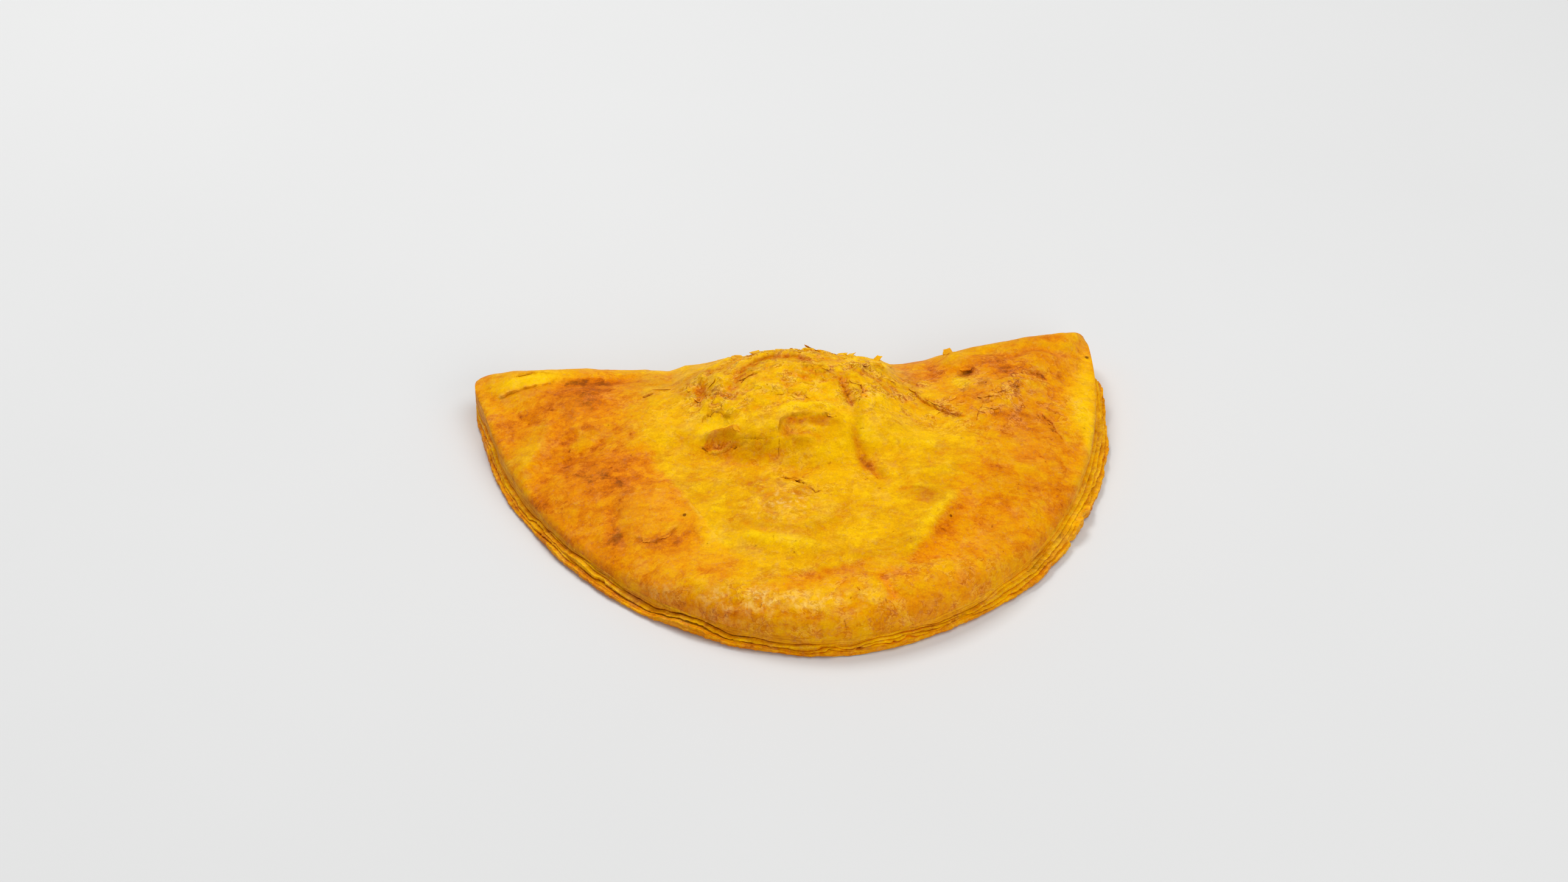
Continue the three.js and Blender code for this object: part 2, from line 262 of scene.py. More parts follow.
# Torn edges of crust layers. The layer on the left of the line's travel stands proud:
# points, how proud (mm), how far back it takes to die away (mm), bare yellow below (0..1), toasted edge and painted
# shade at its foot (0..1).
SCARPS = [
    # lip over the knuckle
    ([(5.9, 8.5), (2.4, 8.7), (0.3, 8.9), (-2.6, 9.0), (-5.2, 9.2), (-6.6, 8.7), (-7.5, 7.7), (-8.0, 6.1), (-8.0, 4.3), (-8.6, 2.1)][::-1], 0.95, 3.2, 0.0, 0.5),
    # the crater's upper lip, and the broken flap in front of it
    ([(-25.6, 13.0), (-24.4, 15.2), (-22.8, 15.9), (-21.8, 16.1), (-20.4, 15.2), (-18.8, 13.0), (-18.0, 11.4)], 0.9, 4.5, 0.9, 0.8),
    ([(-25.9, 7.9), (-24.6, 6.2), (-22.6, 5.4), (-20.6, 5.2), (-19.3, 5.7), (-17.1, 5.2), (-14.0, 5.3), (-11.0, 5.0)], 0.40, 2.0, 0.0, 0.9),
    ([(-19.9, 7.7), (-18.6, 8.1), (-16.9, 7.0), (-14.4, 6.2)][::-1], 0.45, 2.0, 0.0, 0.3),
    # the crown's arch
    ([(-17.2, 19.5), (-16.8, 21.3), (-16.2, 24.0), (-14.5, 27.7), (-11.7, 29.6), (-8.0, 30.6), (-4.4, 30.5), (-1.6, 29.2), (0.9, 27.7), (3.6, 25.8)], 0.5, 5.0, 0.0, 0.5),
    ([(-15.1, 21.7), (-14.6, 22.9), (-13.2, 23.6), (-12.0, 23.7), (-9.6, 23.5)], 0.45, 3.0, 0.1, 0.5),
    # crumbled left of the crown
    ([(-27.2, 22.0), (-25.8, 24.0), (-24.4, 27.6), (-22.0, 29.0)], 0.6, 3.0, 0.2, 0.5),
    ([(-24.0, 18.4), (-22.0, 20.4), (-19.4, 21.0), (-17.8, 20.0)], 0.55, 2.5, 0.2, 0.5),
    ([(-26.0, 25.4), (-24.2, 24.6), (-23.2, 22.6), (-24.6, 20.2)], 0.5, 2.0, 0.2, 0.4),
    # right of the crown
    ([(8.2, 22.2), (8.3, 20.5), (9.1, 17.2), (9.6, 14.2), (10.2, 12.4), (11.1, 11.0)], 0.5, 3.0, 0.1, 0.4),
    ([(10.4, 19.7), (12.9, 19.5), (13.4, 17.9), (12.8, 15.5), (11.3, 12.9)], 0.45, 2.5, 0.2, 0.5),
    ([(10.6, 22.6), (11.4, 23.5), (13.5, 25.4), (15.5, 27.1), (18.8, 28.6), (20.5, 28.4)], 0.6, 3.0, 0.15, 0.6),
    ([(15.5, 29.6), (17.5, 30.0), (18.8, 29.6), (20.5, 29.3)], 0.5, 2.5, 0.1, 0.7),
    ([(-0.2, 23.9), (1.6, 24.4), (3.6, 24.2), (6.2, 23.6)], 0.5, 2.0, 0.1, 0.7),
    # the overhanging crease right of the crown, and the raised thin flake on the right wing
    ([(25.4, 26.0), (26.5, 24.1), (27.9, 21.8), (29.7, 19.7), (32.0, 17.5), (34.1, 15.6), (38.2, 13.8)], 0.85, 5.0, 0.15, 0.35),
    ([(56.2, 29.6), (55.2, 29.2), (54.1, 28.6), (52.0, 27.3), (50.0, 26.6), (47.3, 25.1), (46.3, 26.2), (44.1, 27.5), (41.7, 28.1), (39.5, 26.0), (37.2, 24.9)], 0.55, 4.0, 0.0, 0.35),
    ([(40.8, 22.0), (41.6, 20.6), (42.1, 18.8), (43.5, 18.1), (46.1, 18.9), (47.6, 20.3), (48.8, 21.6), (50.6, 23.6), (51.6, 23.5), (53.1, 24.7), (54.4, 25.3)], 0.5, 3.5, 0.25, 0.2),
    ([(39.4, 10.8), (40.4, 14.0), (41.0, 15.6), (42.2, 17.4), (43.2, 17.8)][::-1], 0.35, 3.0, 0.2, 0.2),
    ([(54.8, 29.2), (57.3, 29.3), (58.8, 28.9), (60.2, 27.7), (62.4, 27.0)], 0.5, 3.5, 0.0, 0.7),
    ([(56.0, 17.6), (56.4, 15.2), (56.9, 14.1), (58.3, 13.9), (58.5, 11.7), (59.1, 9.5), (59.8, 6.8), (61.5, 4.6)], 0.5, 5.0, 0.15, 0.5),
    # the flap over the crack in the middle
    ([(-8.3, -3.0), (-7.9, -4.6), (-7.1, -5.0), (-5.7, -5.0), (-4.7, -6.3), (-3.4, -7.3), (-2.4, -9.0), (-1.4, -10.1), (0.4, -9.4)], 0.45, 3.0, 0.0, 0.4),
    ([(-15.5, -6.1), (-13.9, -5.1), (-12.0, -5.2), (-9.7, -5.1), (-8.0, -4.7)], 0.25, 2.5, 0.0, 0.3),
    # the edge of the orange skin on the left
    ([(-39.0, 11.0), (-37.0, 5.5), (-35.8, 2.6), (-34.8, -0.2), (-33.3, -2.7), (-32.4, -5.4), (-30.8, -7.3), (-29.6, -9.6), (-28.0, -13.0), (-26.6, -16.7), (-24.4, -20.0), (-21.6, -23.0)][::-1], 0.32, 5.0, 0.2, 0.0),
    ([(-46.5, -2.2), (-43.0, -3.4), (-38.0, -3.2), (-33.6, -4.2)][::-1], 0.25, 4.0, 0.0, 0.1),
    ([(-43.8, -14.4), (-41.4, -16.7), (-38.4, -17.9), (-35.8, -17.0), (-33.4, -16.0), (-32.0, -13.2)], 0.5, 4.0, 0.0, 0.55),
    ([(-75.0, 38.4), (-68.0, 38.6), (-61.0, 39.8), (-58.0, 41.0)], 0.9, 3.0, 0.0, 0.2),
    # flakes along the fold
    ([(-38.6, 28.2), (-35.6, 29.2), (-33.6, 29.5)], 0.5, 3.0, 0.1, 0.6),
    ([(-69.5, 42.6), (-66.0, 43.6), (-61.5, 43.4), (-58.0, 42.4)], 0.4, 3.0, 0.5, 0.5),
]
# Open cracks: points, half width, depth.
CRACKS = [
    ([(-8.2, -3.4), (-7.9, -4.6), (-7.1, -5.2), (-5.7, -5.2), (-4.7, -6.5), (-3.4, -7.5)], 0.44, 1.1),
    ([(-3.4, -7.5), (-2.4, -9.2), (-1.4, -10.3), (0.2, -9.6)], 0.17, 0.6),
    ([(-26.0, 8.0), (-25.2, 6.9), (-24.3, 6.0)], 0.32, 0.8),
    ([(-19.2, 5.6), (-18.0, 5.0), (-16.9, 5.1)], 0.26, 0.7),
    ([(-24.0, 15.0), (-22.8, 15.5), (-21.8, 15.7), (-20.5, 14.8), (-19.2, 13.1)], 0.20, 0.6),
    ([(2.6, 8.9), (4.0, 8.3), (5.9, 8.4)], 0.22, 0.8),
    ([(-8.0, 5.0), (-8.1, 3.6), (-8.5, 2.0), (-8.7, 0.9)], 0.15, 0.6),
    ([(-15.2, 21.5), (-14.7, 22.7), (-13.2, 23.4), (-12.0, 23.5), (-10.6, 23.4)], 0.22, 0.7),
    ([(-38.4, 28.0), (-35.6, 29.0), (-33.8, 29.3)], 0.22, 0.7),
    ([(10.6, 19.4), (12.8, 19.2), (13.2, 17.9), (12.7, 15.6), (11.3, 12.9)], 0.20, 0.7),
    ([(8.3, 21.6), (8.5, 20.2), (9.2, 17.4), (9.7, 14.3)], 0.16, 0.5),
    ([(17.5, 29.8), (18.7, 29.4), (20.2, 29.2)], 0.24, 0.7),
    ([(-7.9, 15.6), (-5.9, 15.3), (-4.8, 14.7)], 0.14, 0.5),
    ([(-1.2, 15.0), (-0.8, 13.9), (0.4, 13.5)], 0.15, 0.5),
    ([(0.7, 14.2), (1.4, 13.3), (2.2, 12.6), (1.6, 11.8)], 0.15, 0.5),
    ([(55.0, 29.0), (57.3, 29.0), (58.8, 28.6), (60.0, 27.5)], 0.26, 0.8),
    ([(56.2, 26.6), (57.9, 27.0), (59.2, 27.3)], 0.17, 0.5),
    ([(47.4, 25.2), (48.6, 26.0), (50.2, 26.8)], 0.16, 0.5),
    ([(50.7, 23.5), (51.6, 23.3), (53.1, 24.5), (54.1, 25.0)], 0.16, 0.5),
    ([(42.2, 18.5), (43.5, 17.8), (45.0, 18.3)], 0.15, 0.45),
    ([(39.6, 11.5), (40.4, 14.0), (41.0, 15.6), (42.2, 17.4)], 0.14, 0.45),
    ([(56.1, 17.0), (56.5, 15.2), (57.0, 14.1), (58.2, 13.8), (58.5, 12.0)], 0.28, 0.8),
    ([(10.3, 2.9), (10.4, 0.6), (11.0, -0.9)], 0.16, 0.4),
    ([(12.9, -5.2), (13.6, -6.4), (14.4, -7.2)], 0.15, 0.4),
    ([(-12.4, -21.9), (-12.5, -23.0), (-12.2, -23.8)], 0.13, 0.3),
    ([(31.5, -32.0), (32.1, -31.2), (32.9, -31.3), (33.6, -32.2)], 0.16, 0.4),
    ([(-49.8, 13.2), (-49.1, 13.1), (-48.3, 13.5)], 0.14, 0.4),
    ([(-38.2, -17.9), (-36.6, -17.4), (-35.2, -16.8)], 0.12, 0.3), ([(-34.6, -16.3), (-33.8, -15.9)], 0.14, 0.3),
    ([(-25.6, 8.3), (-24.3, 6.9), (-22.0, 6.1), (-19.6, 6.3), (-17.2, 5.8), (-14.0, 5.2), (-11.0, 4.4), (-9.0, 3.9)], 0.14, 0.4),
    ([(25.7, 25.3), (27.4, 23.0), (29, 21.5), (31, 19.4), (33, 17.5), (35.6, 15.4), (38, 13.7)], 0.20, 0.6),
    ([(-69.0, 42.5), (-66.0, 43.3), (-62.5, 43.2)], 0.18, 0.6),
]
# Soft folds: points, half widths left and right of the travel, height.
FOLDS = [
    ([(31.5, -10.0), (30.3, -12.6), (29.1, -15.0), (26.8, -18.0), (24.8, -19.8), (22.7, -22.3), (21.2, -25.1), (18.9, -28.5), (17.2, -31.0)], 1.3, 2.6, 0.85),
    ([(-20.5, -20.6), (-17.0, -21.8), (-13.0, -22.8), (-9.6, -23.9), (-6.0, -25.2), (0.0, -26.2)], 1.1, 1.2, 0.55),
    ([(-13.5, -31.2), (-10.6, -33.2), (-6.6, -34.0), (-2.4, -33.1), (6.0, -31.5)], 1.0, 1.4, -0.3),
    ([(9.5, -34), (11, -38), (12.6, -42.5)], 0.9, 0.9, -0.6),
    ([(12.5, -33.0), (20, -34), (27, -31.5)], 1.2, 1.6, 0.4),
    ([(-70.2, 8.0), (-69.3, 9.0), (-65.7, 13.8), (-61.4, 21.3), (-60.8, 24.0), (-60.6, 28.0)], 3.2, 1.1, 0.75),
    ([(-59.1, 11.0), (-55.5, 13.3), (-52.2, 14.6), (-46.0, 17.0)], 1.0, 1.4, -0.5),
    ([(-58.8, 18.4), (-56.4, 19.1), (-54.0, 20.8)], 0.8, 0.8, -0.4),
    ([(-47.4, -3), (-47.8, -10), (-45, -18)], 1.2, 1.2, -0.4),
    ([(-76, 39.6), (-68, 39.4), (-60, 40.0), (-52, 38.4), (-46, 38.4), (-36, 39.6)], 0.9, 1.6, -0.55),
    ([(42.0, 39.0), (47.4, 38.6), (50.2, 36.7), (52.7, 35.5), (54.1, 36.2), (56.7, 38.1), (59.8, 37.9), (64.2, 36.8), (72.0, 38.4)], 1.0, 1.0, -0.6),
    ([(16, 3), (24, 4), (31, 1.5)], 1.2, 1.2, 0.35),
    ([(18, -4), (26, -5.5), (34, -4)], 1.4, 1.4, 0.35),
    ([(40, 1), (46, -2), (53, -3)], 1.4, 1.4, 0.4),
    ([(-30, 12), (-38, 14), (-45, 12)], 1.6, 1.6, 0.35),
    ([(20.0, -9.6), (23.5, -10.2), (25.4, -11.1), (27.6, -12.6)], 0.8, 0.8, 0.35),
    ([(9.9, 8.5), (10.1, 5.4), (10.3, 2.9), (10.6, 0.2), (12.2, -3.0), (14.6, -6.0), (17.0, -9.0)], 0.8, 0.9, -0.55),
    ([(-26.0, 8.9), (-23.9, 9.9), (-22.1, 9.9), (-19.3, 8.6), (-16.5, 7.4)], 1.0, 1.0, 0.45),
    ([(37.0, 34.0), (38.6, 37.6), (39.4, 41.0)], 1.6, 1.2, 0.6),
    ([(-30.0, -3.5), (-24.0, -4.6), (-18.0, -3.2)], 1.2, 1.2, 0.3),
    ([(-26.0, -13.5), (-22.0, -8.6), (-15.5, -6.5)], 1.0, 1.4, 0.3),
    ([(2.0, -12.0), (0.5, -18.0), (-6.0, -20.5)], 1.2, 1.2, 0.3),
    ([(-5.5, 5.2), (-3.4, 3.8), (0.6, 3.2)], 0.5, 0.5, 0.28),
    ([(-3.1, 7.4), (-2.0, 6.7), (-0.4, 5.8), (2.2, 5.4)], 0.4, 0.4, 0.25),
    # the crown's arch, the groove on its left and the hollows round it
    ([(-17.4, 17.5), (-16.9, 21.3), (-16.2, 24.0), (-14.5, 27.5), (-11.7, 29.4), (-8.0, 30.3), (-4.4, 30.2), (-1.6, 29.0), (0.9, 27.5), (4.2, 25.4)], 0.8, 1.6, -0.42),
    ([(-17.0, 26.0), (-14.8, 29.4), (-11.7, 31.3), (-8.0, 32.3), (-3.4, 32.0), (0.5, 30.3), (4.0, 28.4)], 1.6, 1.2, 0.22),
    ([(-25.5, 16.5), (-23.0, 18.6), (-20.0, 18.0), (-18.4, 15.4)], 0.9, 0.7, 0.5),
    ([(-26.5, 20.0), (-24.6, 22.0), (-24.0, 25.0), (-25.4, 28.4)], 0.8, 0.8, -0.5),
    ([(-22.0, 19.6), (-20.4, 22.4), (-20.8, 26.0), (-22.4, 29.0)], 1.1, 1.1, 0.6),
    ([(7.4, 23.0), (8.2, 20.5), (9.0, 17.2), (9.8, 14.2), (10.4, 11.4)], 0.9, 0.6, -0.6),
    ([(10.8, 21.5), (13.2, 19.8), (13.6, 17.4), (12.6, 14.4)], 0.6, 0.6, -0.4),
    ([(11.0, 24.5), (14.2, 26.6), (17.6, 28.8), (21.5, 29.6)], 0.7, 1.1, 0.55),
    ([(15.0, 22.0), (17.6, 20.0), (19.2, 16.4)], 0.9, 1.2, 0.4),
    ([(-4.0, 21.6), (-0.6, 20.6), (3.6, 20.0)], 0.8, 0.8, -0.3),
    ([(-13.0, 19.4), (-9.0, 17.6), (-5.0, 17.8)], 0.9, 0.9, 0.35),
    ([(-7.6, 9.4), (-5.6, 11.4), (-1.0, 11.3), (3.0, 11.5), (6.6, 11.0)], 0.8, 0.7, 0.45),
    ([(-26.4, 26.6), (-23.4, 31.4), (-18.6, 35.2), (-13.6, 36.2)], 1.2, 1.4, 0.5),
]


def hairlines(count, seed, region, length):
    """Short fine cracks strewn over a region."""
    rng = np.random.default_rng(seed)
    rows = []
    while len(rows) < count:
        x, y = rng.uniform(-76, 76), rng.uniform(-46, 44)
        if rng.random() > region(np.array([x]), np.array([y]))[0]:
            continue
        turn = rng.normal(0, 0.7)
        n = rng.integers(2, 5)
        pts = [(x, y)]
        for _ in range(n):
            turn += rng.normal(0, 0.6)
            step = rng.uniform(0.4, 1.0) * length / n
            pts.append((pts[-1][0] + step * math.cos(turn), pts[-1][1] + step * math.sin(turn)))
        rows.append((pts, rng.uniform(0.14, 0.24), rng.uniform(0.3, 0.6)))
    return rows


# Where the crust has crumbled: x, y, half widths, turn, amount.
CRUMBLED = [
    (3.2, 23.0, 3.2, 1.6, 0, 1.0), (-24.0, 23.5, 2.8, 4.6, 10, 1.0), (-20.5, 19.0, 2.4, 2.2, 0, .7), (11.5, 17.0, 2.2, 5.0, 10, .6),
    (15.5, 26.5, 4.5, 2.6, 20, .9), (4.0, 33.5, 14, 2.6, -2, .9), (-12.0, 33.0, 7, 2.2, 12, .6), (20.0, 22.0, 4, 5, 0, .45), (0, 13.2, 5, 1.2, 0, .5),
    (53, 25.8, 3.0, 1.6, 20, .7), (45, 20.0, 4, 1.0, 15, .4), (58.6, 12, 1.0, 3.5, 0, .4), (-22, 6.5, 3, 1.2, -10, .5),
    (12.2, -3, 1.2, 4, -20, .4), (32.5, -31.6, 2.0, 1.0, 0, .5),
]


def crumbled(x, y):
    v = np.zeros(np.shape(x))
    for cx, cy, rx, ry, turn, a in CRUMBLED:
        v = np.maximum(v, a * blob(x, y, cx, cy, rx, ry, turn))
    return np.clip(1.5 * v - 0.25, 0, 1)


CRACKS = CRACKS + hairlines(46, 11, lambda x, y: np.clip(crumbled(x, y) + 0.5 * blob(x, y, -3, 20, 16, 9), 0, 1), 2.2)
CRACKS = CRACKS + hairlines(22, 12, lambda x, y: 0.3 * blob(x, y, 45, 20, 16, 14) + 0.4 * blob(x, y, 0, -40, 30, 4) + 0.06, 1.6)


def build_lines(rows, amp, scale, seed, step=0.3):
    return [(jagged(r[0], step=step, amp=amp, scale=scale, seed=seed + k),) + tuple(r[1:]) for k, r in enumerate(rows)]


scarps = build_lines(SCARPS, 0.6, 1.6, 40, 0.25)
cracks = build_lines(CRACKS, 0.40, 1.3, 140, 0.2)
folds = build_lines(FOLDS, 0.7, 6.0, 240, 0.6)


# Outline of the brown flap beside the knuckle.
FLAP = [(-25.4, 7.7), (-24.2, 6.3), (-22.0, 5.8), (-19.6, 5.9), (-18.2, 6.6), (-16.6, 7.6), (-17.6, 9.6), (-20.4, 10.4), (-23.2, 10.3), (-25.4, 7.7)]
flap_line = jagged(FLAP, 0.3, 0.5, 1.4, 77)


def taper(t, a=0.15):
    return sstep(0, a, t) * (1 - sstep(1 - a, 1, t))


# Browned patches: x, y, half widths, turn, amount.
BROWN = [
    # left wing, under the fold and down to the facet
    (-53, 38.4, 6.5, 1.3, -2, .22), (-60, 37.4, 4, 1.2, 8, .12), (-46, 38.0, 3.5, 1.0, -6, .16), (-55, 34, 5.5, 2.4, 5, .34), (-51, 33, 3.0, 1.8, 0, .20),
    (-47.5, 35.5, 3, 1.5, 0, .12), (-63, 30.5, 2.6, 1.6, 25, .20), (-66.5, 29, 1.4, 1.2, 0, .14), (-60, 28.6, 2.4, .9, 30, .16), (-57, 30.3, 3.0, .9, 20, .18),
    (-53.5, 27.5, 2.5, 1.5, 10, .14), (-50.5, 26, 1.5, 2.0, 0, .12), (-70.6, 26.3, 1.3, 1.6, 0, .18), (-72, 30, 1.2, 2, 0, .10), (-56.5, 18.2, 2.6, .7, 22, .14),
    (-52.5, 21, 2.4, .8, 30, .18), (-46, 22, 2, 1.2, 0, .06), (-43.5, 36, 4, 2.0, 0, .08), (-38, 35, 4.5, 2.5, 0, .13), (-33, 36.5, 2.5, 2, 0, .12), (-35.5, 30.0, 2.6, .6, 25, .12),
    # the broad patch on the left
    (-53, 6.2, 3.0, 2.6, 10, .25), (-48, 3.2, 4.2, 2.2, -8, .26), (-44.5, .6, 2.8, 1.4, -14, .24), (-50, 9.8, 4.2, 1.8, 5, .17), (-45, 8, 3, 2, 0, .11),
    (-56.5, 3.5, 1.6, 1.8, 0, .15), (-52, -.5, 4, 1.6, 0, .13), (-42, 4.5, 3, 3, 0, .09), (-49, 5, 8.5, 5.5, -8, .12),
    (-39.5, -9.3, 5.6, 4.6, 0, .13), (-18, 1, 9, 5, 0, .06), 
    # along the left edge
    (-64.8, 1.6, 2.2, 1.3, -14, .30), (-67, 3.0, 1.0, 1.2, 0, .16), (-67.8, 11.2, 1.6, .8, 25, .18), (-60.5, -7.5, 1.8, 2.0, 40, .20), (-57.5, -11.5, 1.8, 2.4, 40, .20),
    (-54.5, -15.2, 2.0, 2.0, 45, .22), (-51.5, -19.0, 2.4, 1.6, 45, .24), (-49, -22.5, 2.0, 1.4, 45, .14), (-62, -4, 1.5, 1.6, 40, .12), (-48, -11, 1.5, 4.5, 5, .22), (-46, .2, 5, 1.6, -10, .12), (-38, -19.2, 5, 1.0, -6, .10), (-31.2, -10, .8, 3.5, 18, .08),
    (-47.2, -16.5, 1.6, 2.2, 10, .13), (-40, -16.8, 2.2, .8, -14, .14), (-36, -17.8, 2.4, .9, 0, .12), (-30.5, -16.8, 2.6, 1.2, 10, .14), (-33, -19, 3, 1.0, 0, .13),
    (-43, -14.8, 1.2, 1.2, 0, .10), (-40, -24, 3.5, 1.6, -25, .10), (-41, -28.5, 2.4, 1.6, -40, .14), (-36, -31.5, 3, 1.4, -35, .12), (-46.5, -25.5, 1.6, 1.2, 45, .10),
    (-30, -37.0, 6, 1.0, -25, .18), (-22, -40.6, 4, 1.0, -15, .14), (-37, -33.0, 3, .8, -38, .14), (-25, -29.5, 4, 1.4, -15, .05), (-54, -8, 2, 2.4, 0, .08),
    # the middle
    (-9.5, -11.5, 3.6, 2.0, 0, .16), (-6, -10.5, 2, 1.2, 0, .10), (-12, -13, 2, 1.4, 0, .09), (-17, -4, 5, 1.2, 8, .10), (-12, -4.8, 3, .8, 0, .10),
    (-20, -10, 2.5, 5, 15, .07), (-17, -16.5, 5, 1.0, -18, .10), (-12, -19.2, 5, .9, -12, .11), (-4, -19.5, 5, 1.4, 6, .10), (3, -17.5, 4, 2, 30, .09), (7, -14, 3, 3, 0, .08),
    (-25, -5, 2, 3, 0, .06), (-27.5, -7.5, .7, 1.2, 20, .14), (0, -28.5, 8, 1.6, 0, .05), (3, -32.5, 6, 1.0, 4, .09), (-3, -36, 10, 1.2, 0, .11), (8, -30, 4, 1.2, 20, .05),
    (8, -45, 14, 1.6, 0, .07), (-8, -46, 8, 1.2, 0, .05),
    # right of the middle
    (24, -13.6, 2.3, 1.6, -25, .28), (22.5, -11.8, 1.6, 1.0, -20, .15), (20, -16.5, 2, 1.2, 0, .08), (27, -9.5, 3, .8, -15, .10), (31.5, -14.5, 1.8, 2.2, -30, .12),
    (29, -18, 1.5, 2, -35, .14), (34.8, -19.5, 1.8, 1.0, 0, .15), (41, -15.8, 2.6, 1.4, 8, .24), (37.5, -14.6, 2.4, .9, 0, .13), (43.5, -17.8, 1.4, 1.4, 0, .15),
    (46.5, -13.5, 1.6, 1.2, 0, .11), (45, -20.5, 2, 1.2, 20, .08), (52, -9, 3, 1.4, -25, .11), (54, -16, 1.6, 3, -35, .12), (57, -8, 2, 3, -30, .09),
    (12.5, -34.5, 3, .9, 5, .15), (15.2, -35, 1.6, 1.0, 0, .16), (12, -38, 1.5, 2, 0, .10), (20, -39.5, 5, 1.6, 5, .06), (27, -37.5, 3, 1.6, 20, .08), (14, -42.5, 3, 1.0, 0, .05),
    (30, -35, 3, 1.2, 25, .08), (33.5, -30, 1.6, 1.2, 0, .11), (40, -27, 3, 1.4, 35, .08), (20, -2.5, 5, 1.2, -4, .10), (25, -5, 4, 1.2, 0, .11), (15, -4, 2, 3, 0, .07),
    (28.5, .3, 2, .8, 0, .09), (23.5, -7.5, 2.5, .8, 0, .07), (11.0, .6, .7, 1.2, 0, .10), (12.2, -1.8, 1.2, 1.0, -20, .14), (13.4, -5.2, 1.0, 1.6, 20, .08),
    (-53, 27, 6.5, 3.4, 14, .20), (-46.5, 28.5, 4.2, 2.4, 10, .14), (-57.5, 22.5, 3.6, 1.8, 35, .09),
    # right wing
    (49.5, 32, 3.2, 2.4, -20, .36), (46, 34.5, 2.2, 1.6, 20, .24), (51.5, 29.4, 1.8, 1.6, 0, .22), (47.5, 28.8, 1.6, 1.8, -30, .20), (44.5, 36.8, 2, .8, -5, .13),
    (58, 35.2, 3.2, 1.0, -8, .22), (62, 33.8, 2.2, 1.0, 0, .13), (55.5, 33, 1.6, 1.2, 0, .13), (63, 41.6, 3.0, 1.0, 6, .20), (66, 43.2, 2.0, .8, 0, .13), (58, 40.8, 2, .6, 0, .09),
    (71, 41, 2, 1.5, 0, .11), (30, 33, 2.6, 1.8, 0, .22), (27.5, 28, 1.6, 2.4, -20, .17), (33.5, 30.5, 1.6, 2, 0, .11), (26.8, 31, 1.5, 2, 0, .15), (41, 31.8, 1.1, .9, 0, .46),
    (41.5, 21.5, 2.2, 1.4, 0, .15), (46.5, 21.5, 1.8, 1.2, 10, .11), (37.5, 21.5, 1.2, 2.2, 0, .11), (48.8, 12.6, 2.6, 1.8, 0, .36), (51.8, 14.8, 1.4, 1.0, 0, .15),
    (51, 9.8, 1.8, 1.0, 0, .17), (46.5, 9.5, 1.2, .9, 0, .09), (50.8, 1.6, 3.0, 2.4, 0, .27), (49, -1.2, 1.8, 1.6, 0, .18), (53.5, 4.5, 1.8, 1.6, 0, .11), (53, -3.5, 1.6, 1.6, 0, .09),
    (44.5, 0, 1.6, 1.2, 0, .09), (41, -3.2, 2.5, .8, 10, .13), (45.3, -3.6, .9, .7, 0, .13), (56.8, 11.5, 1.6, 3.2, 10, .13), (58.5, 5.5, 1.4, 2, 20, .15), (61, 2.5, 1.4, 2, 20, .11),
    (34.5, 1.8, 1.6, 1.0, 0, .09), (37, -6, 1.4, 1, 0, .11), (58.5, 27.6, 2.2, .6, -10, .17), (60.5, 23.5, 2, 1.2, 0, .11), (56.5, 19.5, 2, 1.2, 0, .09), (52.5, 20.5, 1.5, 1.2, 0, .07), (63.5, 24, 1.2, 2, 0, .07),
    # the crown, the crater and the knuckle
    (-24.5, 31.6, 2.6, 1.6, 10, .20), (-28, 25.4, 2.0, 1.4, 0, .18), (-22.3, 22.6, 1.2, 2.2, 5, .22), (-25.5, 19.5, .9, 1.8, 0, .16), (-17, 21, .9, 2.4, 0, .14), (-18.5, 26, 1.5, 2, 0, .10),
    (-6, 28.2, 4.5, .9, 2, .07), (1.5, 26.6, 2.4, .7, -28, .10), (-11, 26.5, 1.5, 1.2, 30, .10), (3.5, 22.5, 2.2, 1.0, 0, .18), (-2, 24.5, 2, 1, 0, .08), (12, 24, 2.2, .8, 38, .14),
    (18.5, 29.5, 1.2, .8, 0, .32), (22.5, 27.5, .8, 1.8, 30, .15), (9, 20.5, .5, 2, 0, .07), (12.3, 17.8, .8, .4, 0, .10), (-20.2, 8.0, 3.2, 1.1, -10, .46), (-23.0, 9.0, 1.6, .6, -30, .20),
    (-16, 6.0, 2.4, .5, -6, .18), (-11, 4.6, 2, .4, -5, .13), (-2.5, 8.2, 4.2, .7, -3, .16), (2.8, 7.5, 3.0, .7, -6, .24), (-3.5, 3.2, 1.7, .9, -20, .30),
    (17, -23, 5.0, 4.0, 40, .13), (28, -9, 4.2, 3.2, 40, .10), (0, 4.8, 3, .5, -5, .12), (7.6, 4.0, 1.2, 1.6, 20, .11), (9.6, 2.6, .7, 1.2, 10, .16), (9.4, 12, .6, 2, 0, .06),
]
